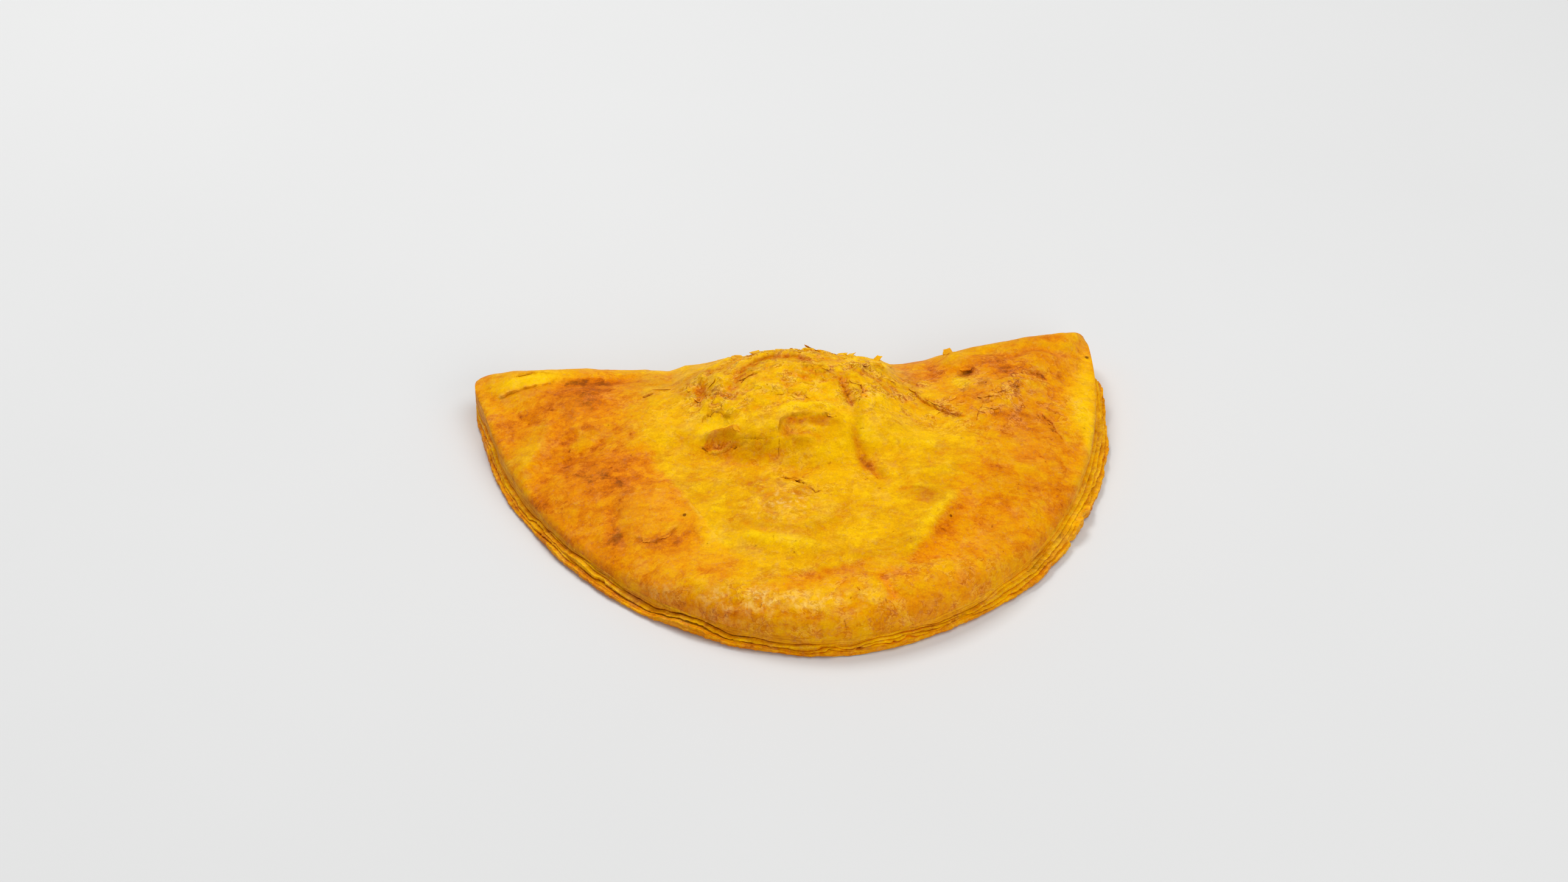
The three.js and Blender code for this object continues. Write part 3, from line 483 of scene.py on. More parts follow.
# Skin browned to a dull pink, with a painted sheen: x, y, half widths, turn, amount.
PEACH = [
    (-39.5, -9.3, 5.8, 4.8, 0, .95), (-9.3, -12, 4.0, 2.9, 0, 1.0), (45, 24, 3.6, 2.4, -20, .8), (43, 27, 2.4, 1.6, -20, .6), (51.5, 1, 3.4, 4.0, 0, .8), (56, 8.5, 2, 3, 0, .5),
    (49, 13, 3, 2, 0, .4), (57, 21.5, 4.5, 3, 0, .5), (22, -39, 6, 2.4, 8, .6), (30, -35, 3, 2, 25, .5), (-39, -30, 3.2, 1.6, -40, .7), (38.5, -23, 5, 2.4, 35, .5), (0, -27.5, 7, 2, 0, .3),
    (-53.5, 27, 2.6, 2.2, 10, .7), (-53, 5, 4, 2, 10, .4), (-55, -15, 2, 2, 45, .6), (-51, -19, 2, 1.6, 45, .7), (60, 36.5, 6, 1.8, 0, .5), (24, -13.6, 2, 1.4, 0, .5), (34, 1, 3, 1.2, 0, .4),
    (-66.3, 18.5, 1.5, 4.5, -28, .5), (-30, -24, 6, 2.4, -25, .4), (-60, -3, 2, 1.5, 0, .4), (34, 22, 2, 3, 35, .4), (41, 17, 2.6, 1.0, 10, .5),
]
# Bare inner pastry, a clear yellow: x, y, half widths, turn, amount.
LEMON = [
    (-65, 41.4, 5.0, 1.5, 4, 1.3), (-21.6, 12.0, 3.0, 2.2, -15, 1.2), (38.8, 27.6, 1.5, 2.2, 8, 1.3), (25, 7.5, 4.0, 2.2, 10, .6), (13, 4.8, 1.6, 1.4, -30, .6), (11.3, 5.6, .6, 1.2, 0, .7),
    (-11, -22.8, 5.5, .9, -15, .6), (17, 14.5, 4, 2, 20, .4), (30.4, 16.6, 1.4, .7, 10, .5), (45, 39, 3.2, .6, -4, .5), (67.0, 15, 1.7, 8, 0, .9), (70.5, 29, 1.5, 7, -8, .7), (4, 15.5, 5, 2, 0, .4), (-10, 16.5, 4, 2, 0, .3),
    (-27, -17, 1.4, 2.4, 25, .4), (-25, -22, 2, 3, 30, .4), (6, 1, 3, 3, 0, .3),
]
# Smears, painted light on crests and painted shade beside them and in creases, along lines: points, half width, amount
# (lighter below 0).
STROKES = [
    ([(-69.3, 12.5), (-66.5, 18), (-63.5, 23.5), (-61.5, 27)], 1.5, -.17), ([(-67.6, 10.2), (-64.6, 14.6), (-61.4, 20.6), (-60.2, 26.4), (-58.4, 29.4)], .6, .15),
    ([(-64.5, 11.5), (-61.8, 16), (-59.6, 20), (-58.6, 24)], 1.6, .05), ([(-75, 38.4), (-68, 38.5), (-61, 39.8), (-58, 41.0)], .40, .13), ([(-58, 40.0), (-52, 38.0), (-46, 38.2), (-40, 39.2)], .55, .16),
    ([(-39, 11), (-37, 6), (-35, 1), (-33.2, -3), (-31, -8)], .6, -.10), ([(-38.4, 11), (-36.2, 6), (-34.2, 1), (-32.4, -3)], .3, .08), ([(31.3, -10.5), (28.6, -14.8), (25, -18.8), (21, -23), (17, -30)], .75, -.15),
    ([(33.2, -12.5), (30.8, -16.6), (27.2, -20.4), (23.2, -24.8), (19.6, -30)], 1.3, .11), ([(42.0, 37.5), (47.4, 37.8), (51, 36.5), (53.2, 35.1), (55.5, 36.7), (59, 37.3), (64.2, 36.5), (71, 38.2)], .5, .17),
    ([(-20, -20.3), (-14, -21.6), (-8, -23.2), (-4, -24.6)], .8, -.12), ([(-20, -22.6), (-14, -23.8), (-8, -25.4)], .5, .09), ([(-13.5, -31.2), (-8, -33.2), (-2, -32.9), (6, -31.0), (12, -29)], .6, .05),
    ([(-12, -29.6), (-6, -31.2), (1, -30.8), (8, -28.8)], .8, -.07), ([(15.5, -8.6), (19, -9.6), (23.6, -10.6)], .35, -.14), ([(25.7, 25.3), (29, 21.6), (33, 17.6), (38, 13.7)], .3, .14),
    ([(27, 25.2), (30.4, 21.8), (34.4, 18)], .8, -.09), ([(8.7, -35.5), (9.4, -39), (10.6, -43)], .6, .13), ([(7.0, -36), (7.8, -40), (8.8, -43.5)], .7, -.10),
    ([(-22, -13), (-20.6, -8.6), (-16, -6.8)], .8, .07), ([(-3, -16), (4, -16.6), (9, -13)], 1.0, .06), ([(-24, -15.5), (-19, -19.5)], .7, -.07), ([(-6, 10.6), (0, 10.4), (6, 10.4)], .7, -.08),
    ([(-7.4, 7.9), (-4.0, 8.5), (1, 8.2), (5.2, 8.0)], .5, .10), ([(-3.0, 6.1), (-.4, 5.6), (2.2, 5.4)], .3, -.10), ([(60.2, 11.5), (60.9, 8), (62.4, 5)], .8, -.10), ([(61.5, 25.5), (64.5, 20), (65.5, 12)], 1.6, -.08),
        ([(-46.5, 32.6), (-44.6, 31.0), (-43.4, 28.8)], 1.2, -.09), ([(-62, -1.5), (-59, -3.4)], 1.2, -.10), ([(-56, 13), (-50, 14.5), (-45, 15.5)], 2.6, -.08), ([(-57, 43.0), (-50, 41.6), (-42, 41.4), (-34, 40.0), (-28, 37.5)], 2.0, .13), ([(-46.0, -5), (-45.2, -12)], .6, -.05), ([(40.5, 11), (41, 15), (44, 17.4)], .5, -.09),
]

# Painted shade in the lee of folds and along creases: points, half width, amount.
SHADES = [
    ([(-16.2, 21.0), (-14.8, 25.4), (-11.2, 28.2), (-7.8, 29.2), (-4.4, 29.0), (-1.0, 27.7), (2.0, 26.0), (4.8, 24.2)], 1.3, .24), ([(-17.8, 16.0), (-17.4, 20.5), (-16.6, 23.5)], .9, .20),
    ([(-9.8, 31.6), (-4, 32.2), (2, 31.2), (6, 29.4)], .9, .12), ([(8.2, 22.2), (8.6, 19.5), (9.4, 16.0), (10.0, 13.0), (10.3, 10.0)], .55, .26), ([(9.9, 9.0), (10.1, 5.4), (10.4, 2.9), (11.0, 0.4), (12.6, -2.6), (14.8, -5.6), (17.4, -9)], .8, .26),
    ([(9.4, 19.0), (11.5, 15.0), (11.2, 9.0), (10.6, 3.0)], 1.1, .22), ([(10.5, 1.6), (11.6, -.6), (12.8, -2.4)], .8, .44), ([(-16.5, 3.9), (-12.6, 3.5), (-9.2, 3.2)], 1.0, .22), ([(-38, 35.2), (-33, 33.4), (-28.5, 31.8), (-24.5, 32.6)], 1.3, .20), ([(-29, 26.4), (-26, 24.2), (-22.8, 22.0)], 1.2, .16),
    ([(12.6, 24.6), (15.5, 26.6), (18.8, 28.2), (22, 27.4)], .8, .24), ([(25.4, 26.4), (27.9, 22.2), (32.0, 17.8), (36, 15.0)], .7, .22), ([(2.6, 22.8), (5.2, 21.6), (8.2, 22.4)], .9, .20), ([(13.4, 15.4), (15.0, 12.2), (18.0, 10.6)], 1.0, .12),
    ([(-16, -2.6), (-9, -3.4), (-2, -2.2), (4, -3.6)], 1.0, .08), ([(16, -1.6), (22, -2.8), (28, -2.0)], 1.2, .14), ([(17, 4.0), (23, 4.4), (29, 2.4)], 1.1, .10), ([(-24, -6), (-20, -10.4), (-17, -15.6)], 1.1, .10),
    ([(40.2, 33.6), (43.0, 34.4), (46.5, 33.0)], 1.0, .14), ([(-56, 16.4), (-52.4, 19.4), (-48, 20.6)], .9, .12), ([(-60, 30.6), (-55, 31.4), (-50, 30.8)], 1.3, .12),
]


def pillow(x, y, seed):
    """Puffed pads, 1 on their tops, with creases (0) between them."""
    return np.clip(np.abs(fbm(x, y, 2, seed)) * 2.4, 0, 1) ** 0.75


def sweep(x, y):
    """Distance from, and length round, a point behind the fold: the layers' grain runs round it."""
    r = np.hypot(x - 2, y - 70)
    return r, np.arctan2(x - 2, 70 - y) * 75


def patchy(x, y, rows, ragged):
    """Sum of patches with soft middles and torn borders."""
    v = np.zeros(x.shape)
    for cx, cy, rx, ry, turn, a in rows:
        g = blob(x, y, cx, cy, rx, ry, turn)
        v = v + a * (0.70 * g ** 0.7 + 0.30 * sstep(0.25, 0.7, g + 0.25 * ragged))
    return v


strokes = build_lines(STROKES, 0.5, 2.5, 340, 0.6)
shades = build_lines(SHADES, 0.7, 2.2, 440, 0.6)


def raw_fields(x, y):
    """Height and the painted fields of the upper crust at plan points, before the painted shade of hollows and light
    of crests are added.
    """
    d = inside(x, y)
    z = form_z(x, y)
    edge = sstep(0.0, 3.0, d)
    wx = x + 2.0 * fbm(x / 8, y / 8, 3, 301)
    wy = y + 2.0 * fbm(x / 8, y / 8, 3, 302)
    jx, jy = fbm(x / 1.3, y / 1.3, 3, 21), fbm(x / 1.3, y / 1.3, 3, 22)
    turn_r, turn_t = sweep(x, y)
    crumb = crumbled(x, y)
    lively = np.clip(1.5 * blob(x, y, -2, 23, 20, 11), 0, 1) * sstep(8, 13, y)

    # unevenness of the rolled dough, large to small: pads parted by soft creases, puffs, wrinkles
    pads = pillow(wx / 15, wy / 12, 1)
    small = pillow(wx / 6.5, wy / 4.6, 2)
    puff = fbm(wx / 3.3, wy / 2.5, 2, 5)
    wrinkle = fbm(turn_t / 2.8, turn_r / 1.2, 3, 3)
    rough = 0.55 + 0.75 * sstep(-0.2, 0.3, fbm(x / 14, y / 11, 2, 8))
    z = z + edge * (0.34 * (pads - 0.55) + rough * 0.10 * (small - 0.55))
    z = z + edge * ((0.06 * rough + 0.36 * lively) * puff + (0.05 * rough + 0.20 * lively) * wrinkle)
    pleat = np.abs(fbm(wx / 5.5, wy / 4.0, 3, 6) + 0.06 * jx)
    z = z + 0.55 * lively * (np.minimum(pleat, 0.30) - 0.18)
    z = z + (0.025 + 0.06 * lively) * fbm(x / 1.3, y / 1.1, 2, 4) * (0.4 + 0.6 * edge)

    # browner along the crown's pleat creases: painted shade
    brown = 0.33 + 0.05 * lively + 0.10 * lively * np.tanh(3 * fbm(wx / 3.2, wy / 2.4, 3, 7)) + 0.10 * lively * sstep(0.10, 0.0, pleat)
    lemon = np.zeros(x.shape)
    dark = np.zeros(x.shape)
    pale = np.zeros(x.shape)

    # the knuckle: a hollow face under its rounded lip, with a notch on its left
    left = np.interp(y, [-2, 0, 2, 4, 6, 8, 9], [-8.4, -8.8, -8.5, -7.9, -7.9, -7.1, -6.2])
    right = np.interp(y, [-4, -2, 1.6, 5, 7, 8.5], [10.5, 9.8, 8.8, 7.6, 6.6, 5.4])
    wob = 0.6 * fbm(x / 2.2, y / 2.2, 3, 90)
    face = sstep(left - 0.5, left + 2.0, x + wob) * (1 - sstep(right - 5.0, right + 0.4, x + wob))
    down = np.interp(x, [-8, -5.5, -2.6, 0.3, 6], [7.1, 9.1, 8.8, 8.7, 8.4]) - y + wob
    scoop = face * sstep(-0.3, 1.9, down) * (1 - sstep(2.4, 9.0, down))
    z = z - 0.85 * scoop
    streaks = fbm((x + 0.5 * y) / 0.7, (y - 0.5 * x) / 2.4, 3, 94)
    # painted shade on the knuckle's face under its lip and down its left side, with streaks in it
    shade = face * sstep(-0.2, 0.7, down) * np.maximum(sstep(-2.4, -6.2, x + wob) * (1 - sstep(3.6, 7.6, down)), 0.75 * (1 - sstep(0.7, 2.6, down)))
    brown = brown + 0.05 * scoop + 0.12 * shade
    dark = np.maximum(dark, shade * np.clip(0.29 + 0.40 * streaks, 0.08, 0.50))
    # the crater beside it
    hollow = sstep(0.2, 0.9, blob(x + wob, y + wob, -21.6, 12.0, 3.0, 2.5, -20))
    z = z - 1.2 * hollow

    # the brown flap lifted out of it
    flap_sd, _ = near_line(x, y, flap_line, 3.0)
    flap = sstep(-0.18, 0.22, np.where(flap_sd > 50, -9.0, flap_sd) + 0.22 * jx)
    z = z + flap * np.clip(0.13 * (y - 7.4), -0.30, 0.40)
    # the flap darker towards its lower front edge: painted shade
    dark = np.maximum(dark, flap * np.clip(0.02 + 0.06 * (7.8 - y) + 0.28 * fbm((x + y) / 1.4, y / 0.5, 3, 95), 0.0, 0.30))
    # the torn hole on the right wing
    torn = sstep(0.45, 0.62, blob(x, y, 40.9, 31.7, 1.6, 0.9, 8) + 0.36 * jx)
    z = z - 0.7 * torn
    # the hole painted dark, darkest towards its back: painted shade inside it
    dark = np.maximum(dark, torn * np.clip(0.26 + 0.22 * (y - 31.2), 0.12, 0.55))

    # soft folds
    for line, half_l, half_r, h in folds:
        sd, t = near_line(x, y, line, max(half_l, half_r) * 4)
        sd = sd + 0.35 * jx
        shape = np.where(sd > 0, bell(sd, half_l), bell(sd, half_r)) * taper(t, 0.22)
        z = z + 1.6 * h * shape * edge
        # crests painted lighter and troughs browner: painted light and shade
        brown = brown - (0.04 if h > 0 else -0.05) * shape

    # rings pressed round the whorl
    r = np.hypot(x + 9, (y + 12.5) * 1.25)
    ring = np.cos(2 * math.pi * (r + 0.6 * fbm(x / 4, y / 4, 2, 12)) / 3.1)
    ring_on = sstep(14, 6, r) * sstep(0.5, 3, r) * sstep(-0.35, 0.2, fbm(x / 5, y / 5, 2, 13))
    z = z + 0.17 * ring * ring_on
    # ring crests painted lighter and troughs browner: painted light and shade
    brown = brown - 0.045 * ring * ring_on

    # thin layers peeling: low steps along winding torn edges
    field = 4.6 * fbm(wx / 6.0, wy / 4.4, 3, 15) + 0.34 * jx + 0.2 * fbm(x / 0.6, y / 0.6, 2, 16)
    layer, part = np.floor(field), field - np.floor(field)
    peel = np.clip(0.75 * lively + crumb + 0.55 * blob(x, y, 46, 22, 12, 8), 0, 1)
    tread = layer + sstep(0.0, 0.14, part)
    z = z + peel * 0.26 * (tread - field)
    # a pale painted highlight on each step's lip, and painted shade at its foot
    lip = sstep(0.34, 0.12, part) * sstep(0.0, 0.10, part)
    pale = np.maximum(pale, 0.40 * peel * lip * sstep(-0.1, 0.3, fbm(x / 4, y / 4, 2, 17)))
    foot = sstep(0.80, 0.98, part)
    brown = brown + peel * 0.13 * foot * sstep(-0.3, 0.2, fbm(x / 3, y / 3, 2, 18))

    # crumbled flakes: small torn plates of unequal height
    f1, f2, cell = voronoi(wx / 2.6 + 0.35 * jx, wy / 1.9 + 0.35 * jy, 31)
    gap = sstep(0.12, 0.0, f2 - f1) * sstep(0.45, 0.7, cell)
    z = z + crumb * (0.55 * (cell - 0.5) - 0.20 * gap)
    # higher plates painted lighter, lower plates browner and the gaps between them darker: painted light and shade
    brown = brown + crumb * (0.15 * (0.5 - cell) + 0.06 * gap)
    dark = np.maximum(dark, 0.45 * crumb * gap * sstep(0.0, 0.3, fbm(x / 2, y / 2, 2, 23)))
    g1, g2, gcell = voronoi(wx / 1.2 + 0.35 * jx, wy / 1.0 + 0.35 * jy, 37)
    z = z + crumb * 0.30 * (gcell - 0.5)
    brown = brown + crumb * 0.10 * (0.5 - gcell)

    # torn layer edges, broken along their run
    for k, (line, h, back, bare, toast_and_foot_shade) in enumerate(scarps):
        sd, t = near_line(x, y, line, 4 * back)
        near = np.abs(sd) < 50
        sd = sd + 0.12 * jx
        broken = sstep(-0.35, 0.25, fbm(t * 5, t * 0 + k * 5.3, 2, 72))
        on = taper(t, 0.16) * near * (0.25 + 0.75 * broken)
        proud = np.where(sd > -0.06, np.exp(-np.maximum(sd, 0) / back) * sstep(-0.06, 0.12, sd), 0)
        under = np.where(sd <= 0, bell(sd + 0.25, 0.4), 0)
        z = z + on * 0.60 * h * (proud - 0.4 * under)
        # a pale painted highlight along the proud edge, browning beside it
        rim = np.where(sd > 0, bell(sd - 0.2, 0.25), 0)
        brown = brown + on * toast_and_foot_shade * (0.05 * rim + 0.10 * np.where(sd <= 0, bell(sd, 0.6), 0))
        pale = np.maximum(pale, on * (1 - toast_and_foot_shade) * 0.25 * rim)
        # painted shade: a thin dark line at the foot, and a wash under the proud layer
        dark = np.maximum(dark, on * toast_and_foot_shade * 0.34 * broken * np.where(sd <= 0.1, bell(sd + 0.1, 0.14), 0))
        dark = np.maximum(dark, on * min(0.40 * h, 0.34) * np.where(sd <= 0.02, np.exp(np.minimum(sd, 0) / 1.1), 0))
        lemon = np.maximum(lemon, on * bare * np.where(sd <= -0.2, np.exp(-np.abs(sd + 0.2) / 2.0), 0))

    # open cracks
    for k, (line, half, depth) in enumerate(cracks):
        sd, t = near_line(x, y, line, 3.0)
        gape = np.clip(0.60 + 1.1 * fbm(t * 3, t * 0 + k * 3.7, 2, 71), 0.25, 1.2)
        wide = 0.85 * half * gape * (0.3 + 0.7 * taper(t, 0.35))
        cut = sstep(1.4, 0.4, np.abs(sd) / np.maximum(wide, 0.03)) * taper(t, 0.06)
        z = z - 0.45 * depth * cut
        # the cracks' insides painted dark as shade, with browning beside them
        dark = np.maximum(dark, cut * np.clip(0.30 + 1.6 * half, 0, 0.9))
        brown = brown + 0.08 * bell(sd, 0.6) * taper(t, 0.1)

    # browning, with painted light and shade along crests, creases and hollows
    left_x = np.interp(y, [-27, -22, -10, -3, 6, 20, 40], [-20, -24, -29.4, -33, -37, -39, -41])
    left_w = np.interp(y, [-30, -22, 6, 12, 24], [5.0, 0.6, 0.8, 5.0, 9.0])
    right_x = np.interp(y, [-31, -25, -19, -12, 0, 10, 20, 40], [17, 21, 26, 31, 38, 40, 34, 26])
    right_w = np.interp(y, [-31, -14, -6, 6, 20], [1.4, 1.4, 6.0, 7.0, 5.0])
    warp_x, warp_y = 1.3 * fbm(x / 2.8, y / 2.8, 4, 55, 0.6), 1.3 * fbm(x / 2.8, y / 2.8, 4, 57, 0.6)
    outer = np.maximum(sstep(left_x + left_w, left_x - left_w, x + warp_x), sstep(right_x - right_w, right_x + right_w, x + warp_x))
    front = sstep(-29, -37, y + 2.0 * fbm(x / 6, y / 6, 3, 56))
    outer = np.maximum(outer, front)
    brown = brown + 0.21 * outer - 0.09 * front * sstep(-40, -24, x) * sstep(24, 8, x)
    bx, by = x + 0.2 * (wx - x) + 0.7 * warp_x, y + 0.2 * (wy - y) + 0.7 * warp_y
    ragged = fbm(x / 1.9, y / 1.5, 4, 63, 0.65)
    spots = patchy(bx, by, BROWN, ragged) * (1 + 0.15 * ragged)
    brown = brown - 0.05 * (1 - outer) + spots * mix(0.55, 0.98, outer)
    dark = np.maximum(dark, np.minimum(0.75 * spots, 0.4) * (1 - outer))
    # darker across the middle in front of the crown: painted shade
    dark = np.maximum(dark, (0.07 + 0.05 * ragged) * (1 - outer) * sstep(16, 2, y))
    # smears, and painted light and shade along crests and creases
    for line, half, amount in strokes:
        sd, t = near_line(bx, by, line, 5 * half)
        brown = brown + amount * bell(sd, half) * taper(t, 0.2) * np.clip(0.8 + 0.8 * ragged, 0.1, 1.4)
    # painted shade along those lines
    for line, half, amount in shades:
        sd, t = near_line(bx, by, line, 5 * half)
        painted_shade = bell(sd, half) * taper(t, 0.25) * np.clip(0.9 + 1.1 * ragged, 0.1, 1.5)
        brown = brown + 0.30 * amount * painted_shade
        dark = np.maximum(dark, amount * painted_shade)
    # painted shade over the bulge right of the knuckle
    dark = np.maximum(dark, (0.10 + 0.10 * ragged) * blob(x, y, 24, 3, 9, 7))
    dark = np.maximum(dark, (0.07 + 0.06 * ragged) * outer * sstep(24, 44, x) * sstep(64, 58, x))
    blotch = np.tanh(3.2 * fbm(wx / 4.6, wy / 3.2, 4, 61, 0.6))
    fleck = np.tanh(3.0 * fbm(x / 1.5, y / 1.15, 3, 67, 0.6))
    smile = fbm(turn_t / 4.6, turn_r / 1.3, 3, 62, 0.6)
    brown = brown + (0.05 + 0.015 * outer) * blotch + 0.04 * fleck + 0.15 * smile * (1 - 0.85 * outer)
    # tops of the small pads painted lighter and the creases between them browner: painted light and shade
    brown = brown + 0.04 * (0.5 - small)
    # dull pink of browned skin with a painted sheen
    peach = patchy(bx, by, PEACH, ragged) * sstep(-0.4, 0.3, ragged) + 0.15 * sstep(0.05, 0.35, fbm(wx / 4, wy / 3, 4, 65, 0.6)) * outer
    lemon = np.maximum(lemon, patchy(x + 0.3 * warp_x, y + 0.3 * warp_y, LEMON, ragged))

    # the front rim: blistered, crackled and a little glossy, with painted highlights on its crest
    rim = sstep(-27, -36, y) * sstep(52, 34, np.abs(x + 4))
    run = y + 0.9 * (form_z(x, y) - 11.0)
    fine_rim = fbm(x / 1.3, run / 1.3, 3, 87)
    b1, b2, bcell = voronoi(x / 2.1 + 0.4 * fine_rim, run / 1.6 + 0.4 * fine_rim, 81)
    crackle = sstep(0.16, 0.02, b2 - b1) * sstep(-0.3, 0.2, fbm(x / 3, run / 3, 2, 86))
    z = z + rim * (0.14 * sstep(0.6, 0.1, b1) - 0.12 * crackle) * sstep(-0.25, 0.25, fbm(x / 5, y / 5, 2, 82))
    shine_and_painted_glint = blob(x, y, -19, -38.2, 7, 1.9, -14) + 0.5 * blob(x, y, -3, -41.6, 9, 1.6, -3) + 0.45 * blob(x, y, -38.5, -31, 3.0, 1.6, -40)
    gloss = rim * sstep(-0.25, 0.35, fbm(x / 3.5, run / 2.2, 3, 83) + 0.3 * shine_and_painted_glint)
    # pale painted glints on the rim's crest
    pale = np.maximum(pale, shine_and_painted_glint * (1 - 0.8 * crackle) * sstep(0.3, 0.75, bcell + 0.7 * fine_rim))
    pale = np.maximum(pale, 1.5 * blob(x, y, -8.8, -12.6, 4.4, 3.0) * sstep(0.08, 0.4, fbm(x / 1.1, y / 0.9, 3, 85)))
    brown = brown + 0.10 * rim * crackle * np.clip(shine_and_painted_glint + 0.3, 0, 1)

    brown = mix(brown, 0.72 + 0.14 * ragged, 0.92 * flap)
    lemon = lemon * (1 - flap)
    brown = brown - 0.35 * np.maximum(brown - 0.64, 0)
    # burnt specks
    for cx, cy, r in SPECKS:
        dark = np.maximum(dark, (1.3 if r > 0.25 else 0.6) * sstep(1.3, 0.6, np.hypot((x - cx) / 1.2, y - cy) / r))
    flaky = 0.14 + 0.55 * lively + 0.6 * crumb + 0.8 * blob(x, y, 48, 21, 12, 8) + 0.5 * blob(x, y, 24, 24, 6, 8) + 0.3 * blob(x, y, -6, -8, 10, 7) + 0.35 * rim
    out = dict(brown=brown, lemon=lemon, dark=dark, gloss=gloss, pale=pale, peach=peach, flaky=flaky, wall=np.zeros(x.shape))
    return z, {k: (v if k == "brown" else np.clip(v, 0, 1)) for k, v in out.items()}


def blurred(grid, sigma):
    """A grid smoothed by a bell of sigma cells."""
    n = int(4 * sigma)
    k = bell(np.arange(-n, n + 1), sigma)
    k /= k.sum()
    for axis in (0, 1):
        g = np.pad(grid, [(n, n) if a == axis else (0, 0) for a in (0, 1)], mode="edge")
        grid = sum(w * np.take(g, np.arange(i, i + grid.shape[axis]), axis) for i, w in enumerate(k))
    return grid


RELIEF_CELL = 0.7


def relief_grid():
    """How far the crust stands above (+) or below (-) its own surroundings, in two sizes."""
    gx, gy = np.meshgrid(np.arange(-84, 84, RELIEF_CELL), np.arange(-54, 56, RELIEF_CELL))
    z, _ = raw_fields(gx.ravel(), gy.ravel())
    on = (inside(gx.ravel(), gy.ravel()) > 0).astype(float).reshape(gx.shape)
    z = z.reshape(gx.shape) * on
    out = []
    for sigma in (1.1, 3.2):
        low = blurred(z, sigma / RELIEF_CELL) / np.maximum(blurred(on, sigma / RELIEF_CELL), 1e-3)
        out.append((z - low) * on)
    return out


def sample(grid, x, y):
    u = np.clip((x + 84) / RELIEF_CELL, 0, grid.shape[1] - 1.001)
    v = np.clip((y + 54) / RELIEF_CELL, 0, grid.shape[0] - 1.001)
    i, j = u.astype(int), v.astype(int)
    fu, fv = u - i, v - j
    return (grid[j, i] * (1 - fu) + grid[j, i + 1] * fu) * (1 - fv) + (grid[j + 1, i] * (1 - fu) + grid[j + 1, i + 1] * fu) * fv


def top_fields(x, y):
    """Height and the painted fields of the upper crust, with painted shade and light: hollows a little darker, crests
    lighter.
    """
    z, f = raw_fields(x, y)
    away = sstep(0.8, 3.5, inside(x, y))
    fine, broad = sample(hollows[0], x, y), sample(hollows[1], x, y)
    # painted shade in hollows and painted light on crests
    tone = np.clip(0.30 * fine, -0.07, 0.07) + np.clip(0.12 * broad, -0.07, 0.07)
    f["brown"] = f["brown"] - tone * away
    return z, f


# Burnt specks: x, y, half width.
SPECKS = [
    (-31.5, -12.5, .42), (72.6, 38.4, .48), (-46.9, 20.4, .20), (66.2, 12.3, .20), (28.2, 26.4, .20), (28.2, -19.4, .30), (-27.1, -21.3, .18), (-16.5, -24.1, .20), (-8.3, -27.2, .18),
    (-7.7, -25.0, .17), (35.0, 6.1, .17), (46.0, -8.6, .18), (-42.3, 8.9, .17), (18.0, -26.0, .17),
]


hollows = relief_grid()


# ---------------------------------------------------------------- the body's mesh
def trace_outline(count):
    """Points evenly along the outline, with the direction from the hub and its slant to the outline."""
    ang = np.linspace(0, 2 * math.pi, 8001)[:-1]
    cx, cy = np.cos(ang), np.sin(ang)
    lo, hi = np.full(ang.shape, 5.0), np.full(ang.shape, 120.0)
    for _ in range(50):
        m = (lo + hi) / 2
        inn = inside(HUB[0] + cx * m, HUB[1] + cy * m) > 0
        lo, hi = np.where(inn, m, lo), np.where(inn, hi, m)
    px, py = HUB[0] + cx * lo, HUB[1] + cy * lo
    px, py = np.append(px, px[0]), np.append(py, py[0])
    at = np.concatenate([[0], np.cumsum(np.hypot(np.diff(px), np.diff(py)))])
    s = np.linspace(0, at[-1], count + 1)[:-1]
    x, y = np.interp(s, at, px), np.interp(s, at, py)
    rx, ry = x - HUB[0], y - HUB[1]
    rr = np.hypot(rx, ry)
    rx, ry = rx / rr, ry / rr
    e = 0.05
    nx, ny = inside(x - e, y) - inside(x + e, y), inside(x, y - e) - inside(x, y + e)
    nn = np.hypot(nx, ny)
    slant = np.maximum((nx * rx + ny * ry) / nn, 0.5)
    return x, y, rx, ry, slant, s, at[-1]


AROUND = 1160
ox, oy, rx, ry, slant, arc_s, perimeter = trace_outline(AROUND)
o_fold = fold_share(ox, oy)
o_fold_soft = sstep(0.35, 0.95, o_fold)


def ring_noise(scale, seed, octaves=3):
    """Noise along the outline that closes on itself."""
    a = arc_s / perimeter * 2 * math.pi
    r = perimeter / (2 * math.pi) / scale
    return fbm(r * np.cos(a) + 40, r * np.sin(a) + 40, octaves, seed)


def hex_points(spacing, seed, region, jitter=0.22):
    rng = np.random.default_rng(seed)
    xs = np.arange(-82, 82, spacing)
    ys = np.arange(-52, 54, spacing * math.sqrt(3) / 2)
    gx, gy = np.meshgrid(xs, ys)
    gx = gx + (np.arange(len(ys)) % 2)[:, None] * spacing / 2
    p = np.stack([gx.ravel(), gy.ravel()], 1) + rng.uniform(-jitter, jitter, (gx.size, 2)) * spacing
    return p[region(p[:, 0], p[:, 1])]


def triangulate(points, loop):
    """Plain triangles over points, with loop (the first points, in order) as the border."""
    n = loop
    edges = [(k, (k + 1) % n) for k in range(n)]
    out = delaunay_2d_cdt([Vector(p) for p in points], edges, [list(range(n))], 1, 1e-7)
    if len(out[0]) != len(points):
        raise RuntimeError("the plan triangulation changed the points")
    return np.array([f for f in out[2] if len(f) == 3], int)


def fine_zone(x, y):
    return ((x > -29) & (x < 22) & (y > 0) & (y < 38)) | ((x > 36) & (x < 63) & (y > 9) & (y < 31))


